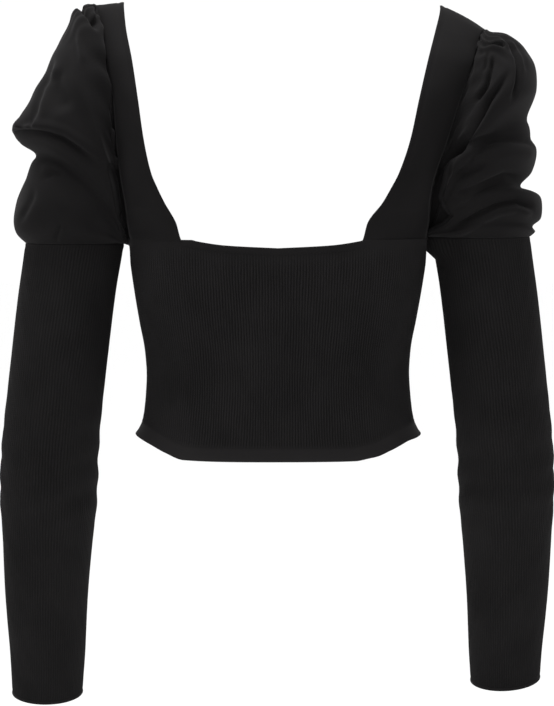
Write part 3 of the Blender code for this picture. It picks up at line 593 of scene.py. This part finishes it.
def ribbed_panel(name, start, end, ribs, phase):
    """A panel of the bodice, with slow waves in its ribs."""
    count = ribs * BODY_STEPS + 1
    places = np.arange(count) / BODY_STEPS
    levels = panel_rows()
    rows = []
    maps = []
    for share, rise, ribbed in levels:
        row = torso_row(start, end, count, share, rise)
        lift, knit_map = ribs_of_row(row, places, ribbed, BODY_STRAY, phase)
        wave = 0.5 * np.sin(row[:, 0] * 0.045 + phase * 2) * np.sin(row[:, 2] * 0.028 + phase)
        height = lift + panel_lip(row, share, rise) + wave
        rows.append(row + level_normals(row, False) * height[:, None])
        maps.append(knit_map)
    grid = np.array(rows)
    shares = [ribbed for _, _, ribbed in levels]
    looks = np.array([0 if ribbed > 0 else 1 if share == 1 else 2 for share, _, ribbed in levels])
    return shell(name, grid, False, np.array(maps), "rib_knit", BODY_MIDDLE, CLOTH, looks, shares), grid


def angle_at_front(x):
    half_width = read(TORSO, HALF_WIDTH, -300)
    return -acos((x / half_width) ** (CURVES[False] / 2))


# ---- straps
def surface_y(x, height, is_back):
    """y of the torso's surface at a distance from the centre line and a height."""
    half_width = read(TORSO, HALF_WIDTH, height)
    depth = read(TORSO, BACK_DEPTH if is_back else FRONT_DEPTH, height)
    power = CURVES[is_back]
    y = depth * (1 - min(1, abs(x) / half_width) ** power) ** (1 / power)
    return y if is_back else -y


def strap_edges(side, is_back, share):
    """Points of a strap's neck and armhole edges at a share of its height, on the left side."""
    table = BACK_STRAPS[side]
    keys = [row[0] for row in table]
    height = float(np.interp(share, np.linspace(0, 1, len(keys)), keys))
    neck_x, neck_y, arm_x, arm_y = read_row(table, height)
    neck_z = arm_z = height
    if not is_back:
        ends = (STRAP_FOOT, keys[-1])
        place = float(np.interp(height, ends, (FRONT_STRAP[0][0], FRONT_STRAP[-1][0])))
        wider, neck_y, arm_y = read_row(FRONT_STRAP, place)
        neck_x *= wider
        neck_z, arm_z = (float(np.interp(height, ends, (foot, keys[-1]))) for foot in FRONT_FOOT)
    return np.array([neck_x, neck_y, neck_z]), np.array([arm_x, arm_y, arm_z])


def strap_grid(side, is_back, row_count, column_count):
    """Points of a strap from foot to shoulder and from the neck edge to the armhole."""
    rows = []
    edge = BACK_TOP if is_back else FRONT_TOP
    for share in np.linspace(0, 1, row_count):
        neck, arm = strap_edges(side, is_back, share)
        row = []
        for across in np.linspace(0, 1, column_count):
            point = neck + (arm - neck) * across
            bulge = 4 * across * (1 - across)
            point[1] += STRAP_BULGE[is_back] * bulge * (1 - share ** 4)
            point[2] -= SHOULDER_FALL[side] * across ** 1.25 * ease(SHOULDER_FROM, 1, share)
            settle = max(0, 1 - share / STRAP_SETTLE) * (1 - across ** 3)
            point[1] += (surface_y(point[0], max(point[2], -230), is_back) - point[1]) * settle
            foot = ease(STRAP_BLEND, 0, share)
            foot_z = read(edge, 1, abs(point[0])) - FOOT_DROP
            point[2] += (foot_z - point[2]) * foot
            on_torso = surface_y(point[0], point[2], is_back)
            point[1] += (on_torso - copysign(FOOT_TUCK, on_torso) - point[1]) * foot
            row.append(point)
        rows.append(row)
    grid = np.array(rows)
    grid[..., 0] *= SIDES[side]
    return grid


def make_strap(name, side, is_back):
    """A plain-knit strap with a rolled neck edge."""
    grid = strap_grid(side, is_back, *STRAP_GRID)
    inside = mirrored(STRAP_MIDDLE, side)
    normals = grid_normals(grid, False)
    if np.sum(normals * (grid - inside)) < 0:
        normals = -normals
    across = np.linspace(0, 1, grid.shape[1])[None, :]
    along = np.linspace(0, 1, grid.shape[0])[:, None]
    from_neck = across * np.linalg.norm(grid[:, -1] - grid[:, 0], axis=1)[:, None]
    lip = LIP * hump(from_neck, 1.6, 1.6) - 0.35 * hump(from_neck, 5.2, 0.8)
    soft = 0.5 * np.sin(along * 21 + across * 2) * np.sin(across * 3.1) * ease(0, 0.2, along)
    if is_back:
        soft -= 0.9 * hump(grid[..., 2], -198.5, 2.6) * ease(0.25, 0.6, across)
    dips = 0.8 * np.sin(along * 9 + 1) * ease(0.3, 0.8, across) * ease(0.1, 0.5, along)
    settled = ease(1, 0.82, across)
    grid = grid + normals * (lip + (soft + dips * (1 - along ** 4)) * settled)[..., None]
    lengths = running_length(grid[:, STRAP_GRID[1] // 2 - 1])[:, None]
    uv = np.stack(np.broadcast_arrays(from_neck, lengths), axis=2)
    return shell(name + "_knit", grid, False, uv, "plain_knit", inside)


# ---- puff sleeves
def armhole_loop(side):
    """Points round an armhole: down the back strap, under the arm and up the front strap."""
    sign = SIDES[side]
    back_line = list(strap_grid(side, True, STRAP_ROWS + 1, 3)[::-1, -1])
    front_line = list(strap_grid(side, False, STRAP_ROWS + 1, 3)[:, -1])
    under = []
    for across in np.linspace(-1, 1, UNDERARM_POINTS + 2)[1:-1]:
        is_back = across < 0
        start = back_line[-1] if is_back else front_line[0]
        x = UNDERARM_X + (abs(start[0]) - UNDERARM_X) * abs(across) ** 2.2
        z = read(BACK_TOP if is_back else FRONT_TOP, 1, x) + SEAM_GAP
        under.append(np.array([sign * x, start[1] * abs(across), z]))
    back_line[0] = (back_line[0] + front_line[-1]) / 2
    loop = np.array(back_line + under + front_line[:-1])
    return loop + np.array([sign * SEAM_GAP * 1.2, 0, 0])


def puff_section(side, number, count):
    """A closed section of a puff, from its outermost point round behind, under the arm and in front."""
    out_x, out_z, back, front, leaving = PUFFS[side][number]
    seam_z, seam_x, _, seam_radius = SLEEVES[side][0]
    share = (number + 1) / (len(PUFFS[side]) + 1)
    arm_x = TOP_HALF + SEAM_GAP
    arm_z = BACK_TOP[-1][1] + UNDERARM_LIFT
    pivot_x = arm_x + (seam_x - seam_radius - UNDERARM_CLEAR - arm_x) * share
    pivot_z = arm_z + (seam_z + 1 - arm_z) * share
    reach = hypot(out_x - pivot_x, out_z - pivot_z)
    outer_angle = atan2(out_z - pivot_z, out_x - pivot_x)
    angles = turns(360)
    is_back = np.sin(angles) >= 0
    turned = np.abs(np.sin(angles / 2)) ** np.where(is_back, 1.5, 2.2)
    polar = outer_angle + (radians(leaving) - outer_angle) * turned
    distance = reach * (1 + np.cos(angles)) / 2
    own = np.where(is_back, back, front)
    shared = own + (UNDERARM_DEPTH - own) * turned ** 2
    depth = shared * np.sign(np.sin(angles)) * np.abs(np.sin(angles)) ** 0.9
    x = SIDES[side] * (pivot_x + distance * np.cos(polar))
    z = pivot_z + distance * np.sin(polar)
    return even_resample(np.stack([x, depth + PUFF_SHIFT, z], axis=1), count, closed=True)


def follow_armhole(side, loop, ring, tuck):
    """Draw a section near the head of a puff towards the armhole's line."""
    closeness, outwards, inwards = tuck
    followed = []
    for c in range(PUFF_COLUMNS):
        from_top = min(c, PUFF_COLUMNS - c)
        weight = closeness * min(1, from_top / TUCK_FROM) ** 2
        from_underarm = min(1, abs(loop[c][1]) / TUCK_FADE)
        shift = np.array([SIDES[side] * outwards, -copysign(inwards, loop[c][1]), 0]) * from_underarm
        followed.append(ring[c] * (1 - weight) + (loop[c] + shift) * weight)
    return np.array(followed)


def sleeve_ring(side, index, count, out=0, rise=0):
    """A ring of a sleeve; index runs from 0 at the puff's seam to 4 at the cuff and may lie between rows."""
    table = [(float(i), *row) for i, row in enumerate(SLEEVES[side])]
    height, x, y, radius = read_row(table, index)
    share = index / (len(table) - 1)
    forward = radians(FOREARM_TILT) * share ** 2
    sideways = radians(CUFF_TILT[side]) * share ** 4
    angle = turns(count)
    across = (radius + out) * np.cos(angle)
    deep = (radius * SLEEVE_FLAT + out) * np.sin(angle)
    drop = -deep * sin(forward) + across * sin(sideways)
    return np.stack([SIDES[side] * (x + across), y + deep * cos(forward), height + drop + rise], axis=1)


def spline_rows(points, steps, closed):
    """Points on a smooth curve through those of each column (axis 0)."""
    padded = np.pad(points, [(1, 2)] + [(0, 0)] * (points.ndim - 1), mode="wrap" if closed else "edge")
    made = []
    for before, here, after, beyond in zip(padded, padded[1:], padded[2:], padded[3:]):
        for k in range(steps):
            t = k / steps
            low = 0.5 * ((2 * here) + (after - before) * t)
            mid = 0.5 * (2 * before - 5 * here + 4 * after - beyond) * t ** 2
            high = 0.5 * (-before + 3 * here - 3 * after + beyond) * t ** 3
            made.append(low + mid + high)
    return np.array(made if closed else made[:-steps] + [points[-1]])


def fold_height(x, z, lift, depth, width, fade_in, fade_out, line):
    """Height of one fold at points: a ridge above its line and a trough below, fading at both ends."""
    line = np.array(line, dtype=float)
    best = np.full(x.shape, 1e9)
    side = np.zeros(x.shape)
    place = np.zeros(x.shape)
    lengths = running_length(line)
    for i in range(len(line) - 1):
        start = line[i]
        step = line[i + 1] - start
        size = np.linalg.norm(step)
        t = np.clip(((x - start[0]) * step[0] + (z - start[1]) * step[1]) / size ** 2, 0, 1)
        away_x = x - start[0] - step[0] * t
        away_z = z - start[1] - step[1] * t
        distance = np.hypot(away_x, away_z)
        closer = distance < best
        turn = step[0] * away_z - step[1] * away_x
        best = np.where(closer, distance, best)
        side = np.where(closer, np.where(turn < 0, 1, -1), side)
        place = np.where(closer, (lengths[i] + size * t) / lengths[-1], place)
    signed = best * side
    fade = ease(-0.01, fade_in, place) * ease(1.01, 1 - fade_out, place)
    tails = hump(np.maximum(0, best - 1.6 * width), 0, 0.5 * width)
    ridge = lift * hump(signed, 0.9 * width, 0.95 * width)
    trough = depth * hump(signed, -0.35 * width, 0.62 * width)
    return (ridge - trough) * fade * tails


def puff_form(side):
    """A fine smooth grid through the armhole, a puff's sections and the sleeve's top."""
    loop = armhole_loop(side)
    rows = [loop]
    for number in range(len(PUFFS[side])):
        ring = puff_section(side, number, PUFF_COLUMNS)
        if number < len(TUCK):
            ring = follow_armhole(side, loop, ring, TUCK[number])
        rows.append(ring)
    rows.append(sleeve_ring(side, 0, PUFF_COLUMNS, PUFF_OVERLAP, SEAM_GAP))
    grid = spline_rows(np.array(rows), PUFF_FINE_ROWS, False)
    return spline_rows(grid.transpose(1, 0, 2), PUFF_FINE_COLUMNS, True).transpose(1, 0, 2)


def softened_normals(grid):
    """Outward normals of a closed grid, each drawn towards its neighbours'."""
    normals = grid_normals(grid, True)
    if np.sum(normals * (grid - grid.mean(axis=1, keepdims=True))) < 0:
        normals = -normals
    for _ in range(3):
        normals = 0.5 * normals + 0.25 * (np.roll(normals, 1, axis=1) + np.roll(normals, -1, axis=1))
        normals[1:-1] = 0.5 * normals[1:-1] + 0.25 * (normals[:-2] + normals[2:])
    return unit(normals)


def puff_gathers(side, turn, along, round_mm):
    uneven = 1 + 0.5 * np.sin(round_mm * 0.11 + SIDES[side]) + 0.3 * np.sin(round_mm * 0.27)
    gathers = np.sin(tau * (round_mm + 6 * np.sin(round_mm * 0.05) + 16 * along) / GATHERS[side])
    upper = ease(0.05, 0.6, np.cos(turn) + 0.45)
    ends = ease(0, 0.03, along) * ease(GATHER_REACH, 0.02, along)
    return GATHER_HEIGHT * uneven * gathers * upper * ends


def puff_relief(side, grid, turn, lengths):
    """Height of the folds, gathers, roll beside the seam and unevenness over a puff's form."""
    sign = SIDES[side]
    x, y, z = sign * grid[..., 0], grid[..., 1], grid[..., 2]
    along = np.linspace(0, 1, grid.shape[0])[:, None]
    height = np.zeros(x.shape)
    behind = ease(-12, 14, y)
    for *form, line in FOLDS[side]:
        front_line = np.array(line) + FRONT_FOLD_SHIFT
        height += behind * fold_height(x, z, *form, line)
        height += (1 - behind) * FRONT_FOLD_SHARE * fold_height(x, z, *form, front_line)
    height += puff_gathers(side, turn, along, turn / tau * PUFF_ROUND)
    groove, swell = SEAM_ROLL[side]
    beside = ease(*SEAM_FREE, turn) * ease(tau - SEAM_FREE[0], tau - SEAM_FREE[1], turn)
    height += beside * swell * ease(3, 8, lengths) * ease(52, 14, lengths)
    height -= beside * groove * hump(lengths, 1.9, 1.3)
    soft = np.sin(x * 0.11 + y * 0.05 + 1.3) * np.sin(z * 0.10 + y * 0.06 + sign) * PUFF_SOFT[0]
    soft += np.sin(x * 0.21 - z * 0.17 + y * 0.13) * PUFF_SOFT[1]
    height += soft * ease(0, 0.1, along) * ease(1, 0.9, along)
    from_corner = np.linalg.norm(grid - mirrored(UNDERARM_CORNER, side), axis=2)
    clear = ease(12, 34, from_corner) * ease(0, 0.8, lengths)
    return height * (clear * ease(1, 0.985, along))


def open_wedge(side, grid, lengths):
    """Draw the lower puff in behind the strap, where a dark opening shows."""
    wedge = np.array(WEDGES[side])
    x, y, z = SIDES[side] * grid[..., 0], grid[..., 1], grid[..., 2]
    outer = np.interp(-z, -wedge[:, 1], wedge[:, 0])
    ends = ease(-138, -147, z) * ease(-207, -202, z)
    opened = ease(outer + 1.2, outer - 2.6, x) * ends * ease(20, 42, y)
    grid[..., 1] -= WEDGE_DEPTH * opened * ease(0.3, 2.4, lengths)


def make_puff(side):
    grid = puff_form(side)
    normals = softened_normals(grid)
    turn = turns(grid.shape[1])[None, :]
    lengths = running_length(grid)
    grid = grid + normals * puff_relief(side, grid, turn, lengths)[..., None]
    open_wedge(side, grid, lengths)
    grid = join_underarm(side, grid)
    uv = np.stack(np.broadcast_arrays(turn / tau * PUFF_ROUND, lengths), axis=2)
    # the puff wears the darker copy of the plain knit, painted shade
    return shell("puff_" + side + "_knit", grid, True, uv, "puff_shaded_knit", mirrored(PUFF_MIDDLE, side))


def join_underarm(side, points):
    """Draw the right sleeve's inner corner to the bodice, where its seams meet under the arm."""
    if side == "left":
        return points
    x, y, z = np.moveaxis(points, -1, 0)
    draw = 9 * ease(-222, -218.5, z) * ease(-190, -200, z) * ease(154, 139, -x)
    draw = draw * ease(62, 30, np.abs(y - 6))
    moved = points.copy()
    moved[..., 0] = np.minimum(x + draw, np.maximum(x, -130.6))
    return moved


# ---- lower sleeves
def sleeve_rows(last):
    """Rows of a sleeve from the cuff up: place among its rings, rise above that, share of the full rib."""
    rows = [(float(last), rise, 0) for rise in (0, 0.5, 1.6, 2.6)]
    rows += [(float(last), CUFF_PLAIN + rise, ribbed) for rise, ribbed in CUFF_START]
    rows += [(index, CUFF_RISE * index / last, 1) for index in np.linspace(last - 0.05, 0.05, SLEEVE_ROWS)]
    return rows + [(0, rise, ribbed) for rise, ribbed in PUFF_START]


def sleeve_lip(index, rise, ribbed, last):
    """How far the cuff's edge stands out, and how the sleeve's top goes in behind the puff."""
    if index == last and rise < CUFF_PLAIN:
        return LIP + CUFF_ROLL * (rise < 0.8)
    if index == 0 and rise > 0:
        return -0.8
    return 0.5 * (1 - ribbed) if index == 0 else 0


def make_sleeve(side):
    count = SLEEVE_RIBS * SLEEVE_STEPS
    places = np.arange(count) / SLEEVE_STEPS
    last = len(SLEEVES[side]) - 1
    levels = sleeve_rows(last)
    rows = []
    maps = []
    for index, rise, ribbed in levels:
        ring = sleeve_ring(side, index, count, -PUFF_OVERLAP * min(1, index / 0.3), rise)
        lift, knit_map = ribs_of_row(ring, places, ribbed, SLEEVE_STRAY)
        elbow = hump(index, *ELBOW)
        wrinkle = 0.7 * elbow * np.sin(ring[:, 2] * 0.23 + ring[:, 0] * 0.06 + 1.2 * np.sin(places * 0.11))
        slow = 0.5 * np.sin(ring[:, 2] * 0.045 + tau * places / SLEEVE_RIBS)
        ends = min(1, index / 0.3) * min(1, (last - index) / 0.3)
        height = lift + sleeve_lip(index, rise, ribbed, last) + (wrinkle + slow) * ends
        normal = level_normals(ring, True) * SIDES[side]
        rows.append(join_underarm(side, ring + normal * height[:, None]))
        maps.append(knit_map)
    grid = np.array(rows)
    middle = grid.mean(axis=1, keepdims=True)
    shares = [ribbed for _, _, ribbed in levels]
    looks = np.array([2 if ribbed == 0 and index == last else 0 for index, _, ribbed in levels])
    name = "sleeve_" + side + "_knit"
    return shell(name, grid, True, np.array(maps), "sleeve_knit", middle, CLOTH, looks, shares)


# ---- bands and buttons
def make_band(name, left, right, out):
    rows = []
    columns = np.linspace(left, right, BAND_GRID[1])
    edge = np.minimum(columns - left, right - columns)
    rib = BAND_RIB * rib_profile((columns - left) / BAND_PITCH) * ease(1, 2.5, edge)
    lip = 0.5 * hump(edge, 1, 1)
    low = read(FRONT_HEM, 1, np.abs(columns))
    top = read(FRONT_TOP, 1, np.abs(columns))
    for share in np.linspace(0, 1, BAND_GRID[0]):
        heights = low + share * (top - low)
        y = np.array([surface_y(x, h, False) for x, h in zip(columns, heights)])
        y = y - (out + hem_flare(heights - low)) - rib - lip
        rows.append(np.stack([columns, y, heights], axis=1))
    grid = np.array(rows)
    return shell(name, grid, False, grid[..., (0, 2)], "hem_knit", BODY_MIDDLE, BAND_CLOTH)


def band_place(height):
    """y and lean of the upper band's middle at a height."""
    ys = [surface_y(0, height + step, False) for step in (-3, 3)]
    return sum(ys) / 2, atan2(ys[0] - ys[1], 6)


def finish_mesh(grid, name, material):
    mesh = bpy.data.meshes.new(name)
    grid.to_mesh(mesh)
    grid.free()
    mesh.materials.append(material)
    mesh.shade_smooth()
    return add_object(name, mesh)


def button_disc(name):
    """The turned disc of a button, its face towards +Z."""
    grid = bmesh.new()
    rings = []
    for radius, rise in BUTTON_OUTLINE:
        angles = turns(BUTTON_STEPS) if radius else (0,)
        places = [(radius * MM * cos(a), radius * MM * sin(a), rise * MM) for a in angles]
        rings.append([grid.verts.new(place) for place in places])
    for near, far in zip(rings, rings[1:]):
        for i in range(BUTTON_STEPS):
            j = (i + 1) % BUTTON_STEPS
            corners = [near[i % len(near)], near[j % len(near)], far[j % len(far)], far[i % len(far)]]
            grid.faces.new(list(dict.fromkeys(corners)))
    bmesh.ops.recalc_face_normals(grid, faces=grid.faces)
    disc = finish_mesh(grid, name, PLASTIC)
    disc.data.set_sharp_from_angle(angle=radians(50))
    return disc


def button_thread(name):
    """The four stitches that hold a button, in a cross on its face."""
    grid = bmesh.new()
    out, rise = STITCH_PLACE
    for x, y, turned in ((0, out, 0), (0, -out, 0), (out, 0, pi / 2), (-out, 0, pi / 2)):
        made = bmesh.ops.create_uvsphere(grid, u_segments=10, v_segments=8, radius=1.0)
        along, across = cos(turned), sin(turned)
        for vertex in made["verts"]:
            wide = Vector([part * size for part, size in zip(vertex.co, STITCH_SIZE)])
            spun = Vector((wide.x * along - wide.y * across, wide.x * across + wide.y * along, wide.z))
            vertex.co = (spun + Vector((x, y, rise))) * MM
    return finish_mesh(grid, name, KNIT["thread"])


def make_button(name):
    low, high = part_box(name)
    height = (low[2] + high[2]) / 2
    on_band, lean = band_place(height / MM)
    disc = button_disc(name + "_disc")
    thread = button_thread(name + "_thread")
    off_band = Vector((0, cos(lean), sin(lean))) * BUTTON_STAND * MM
    for item in (disc, thread):
        item.rotation_euler = (pi / 2 + lean, 0, 0)
        item.location = Vector((0, on_band * MM, height)) - off_band
        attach(item, "root")
    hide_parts(name)


# ---- seams
def seam_ridge(name, points, inwards, closed=False):
    """The sewn allowance of a seam: a soft ridge on the inside of the cloth."""
    inwards = unit(np.array(inwards, dtype=float))
    points = points + inwards * SEAM_DEPTH
    side = unit(np.cross(unit(direction(points, closed)), inwards))
    rings = [points + SEAM_RADIUS * (cos(t) * side + sin(t) * inwards) for t in turns(SEAM_SIDES)]
    rings = np.stack(rings, axis=1)
    grid = bmesh.new()
    corners = [grid.verts.new(place) for place in (rings.reshape(-1, 3) * MM).tolist()]
    for face in grid_quads(len(points), SEAM_SIDES, True, closed).tolist():
        grid.faces.new([corners[i] for i in face])
    if not closed:
        grid.faces.new(corners[SEAM_SIDES - 1::-1])
        grid.faces.new(corners[-SEAM_SIDES:])
    bmesh.ops.recalc_face_normals(grid, faces=grid.faces)
    layer = grid.loops.layers.uv.new("knit")
    lengths = running_length(points)
    for face in grid.faces:
        for loop in face.loops:
            row, turn = divmod(loop.vert.index, SEAM_SIDES)
            loop[layer].uv = (turn * 0.8, lengths[row])
    item = finish_mesh(grid, name, KNIT["thread"])
    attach(item, "root")


def make_seams(back_body, front_right):
    for side, column in (("left", 0), ("right", -1)):
        sign = SIDES[side]
        line = back_body[2:-1, column].copy()
        line[:, 1] = 0
        seam_ridge("seam_side_" + side, line, [-sign, 0, 0])
        behind, before = (strap_grid(side, is_back, *STRAP_GRID)[-1] for is_back in (True, False))
        shoulder = ((behind + before) / 2)[1:]
        seam_ridge("seam_shoulder_" + side, shoulder, [-0.25 * sign, 0, -1])
        loop = spline_rows(armhole_loop(side), 6, True)
        loop[:, 0] -= sign * 0.3
        core = loop * (0, 0, 1) + (sign * 100, 0, 0)
        core[:, 2] = np.minimum(core[:, 2], -60)
        seam_ridge("seam_armhole_" + side, loop, core - loop, True)
    line = front_right[2:-1, -1].copy()
    line[:, 0] += 0.2
    seam_ridge("seam_band_right", line, [0, 1, 0])


# ---- the garment
def declare(item, node_name):
    """Attach a piece of cloth to the root and hide the imported solid that it covers."""
    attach(item, "root")
    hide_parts(node_name)


def build():
    side_angle = (SEAM_GAP / 2 / 110) ** (CURVES[True] / 2)
    near = angle_at_front(BAND_HALF + SEAM_GAP)
    cuts = (
        ("back_body", side_angle, pi - side_angle, BACK_RIBS, 0.3, (0.300, 0.190)),
        ("front_left", near, -side_angle, FRONT_RIBS, 1.1, (0.150, 0.180)),
        ("front_right", -pi + side_angle, -pi - near, FRONT_RIBS, 2.0, (0.150, 0.180)),
    )
    panels = {}
    for name, start, end, ribs, phase, flat in cuts:
        item, panels[name] = ribbed_panel(name + "_knit", start, end, ribs, phase)
        declare(item, name)
    for side in SIDES:
        straps = (("back_strap_" + side, True, 0.058, 0.0092), ("front_strap_" + side, False, 0.050, 0.0078))
        for name, is_back, width, area in straps:
            declare(make_strap(name, side, is_back), name)
        declare(make_puff(side), "puff_" + side)
        declare(make_sleeve(side), "sleeve_" + side)
    bands = (("band_right", BAND_HALF, 0, 0.019), ("band_left", BAND_HALF + BAND_TUCK, -BAND_STEP, 0.025))
    for name, right, out, width in bands:
        declare(make_band(name + "_knit", -BAND_HALF, right, out), name)
    for number in range(1, BUTTON_COUNT + 1):
        make_button("button_%d" % number)
    make_seams(panels["back_body"], panels["front_right"])


build()

# ---- floor, light and camera (metres)
FLOOR_Z = -1.42
FLOOR_HALF = 30.0
WHITE = (1, 1, 1, 1)
FLOOR_COLOUR = (0.98, 0.98, 0.98, 1.0)
WORLD_STRENGTH = 1.02
LAMP_SIZE = 1.2
DISTANCE = 2.8  # from the camera to the point that it looks at,
TARGET_Z = -0.30624  # which lies on the centre line
PITCH = radians(3.5)
IMAGE_WIDTH = 554  # pixels
PIXEL = 0.88  # size of a pixel at the garment, mm
SENSOR = 36  # mm

corners = [(x * FLOOR_HALF, y * FLOOR_HALF, FLOOR_Z) for x, y in ((-1, -1), (1, -1), (1, 1), (-1, 1))]
floor_mesh = bpy.data.meshes.new("floor")
floor_mesh.from_pydata(corners, [], [(0, 1, 2, 3)])
floor_look, _, floor_shader = new_material("floor_look")
set_inputs(floor_shader, {"Base Color": FLOOR_COLOUR, "Roughness": 0.9})
floor_mesh.materials.append(floor_look)
add_object("floor", floor_mesh)

world = bpy.data.worlds.new("studio")
scene.world = world
world.use_nodes = True
set_inputs(world.node_tree.nodes["Background"], {"Color": WHITE, "Strength": WORLD_STRENGTH})


def soft_light(name, place, target, power):
    data = bpy.data.lights.new(name, "AREA")
    data.shape = "DISK"
    data.size = LAMP_SIZE
    data.energy = power
    lamp = add_object(name, data)
    lamp.visible_camera = False
    lamp.location = place
    lamp.rotation_euler = (Vector(target) - Vector(place)).to_track_quat("-Z", "Y").to_euler()


soft_light("overhead", (0.3, 0.2, 2.2), (0, 0, -0.2), 85)
soft_light("key", (0.5, 3, 0.8), (0, 0, -0.3), 14)
soft_light("fill", (0, 2.4, -1.2), (0, 0, -0.5), 9)

camera_data = bpy.data.cameras.new("camera")
camera = add_object("camera", camera_data)
camera.location = (0, DISTANCE * cos(PITCH), TARGET_Z + DISTANCE * sin(PITCH))
camera.rotation_euler = (pi / 2 - PITCH, 0, pi)
camera_data.sensor_fit = "HORIZONTAL"
camera_data.sensor_width = SENSOR
camera_data.lens = DISTANCE / MM / PIXEL * SENSOR / IMAGE_WIDTH
camera_data.shift_x = -1 / IMAGE_WIDTH
camera_data.clip_end = 200
scene.camera = camera
scene.view_settings.view_transform = "Standard"

bpy.context.view_layer.update()
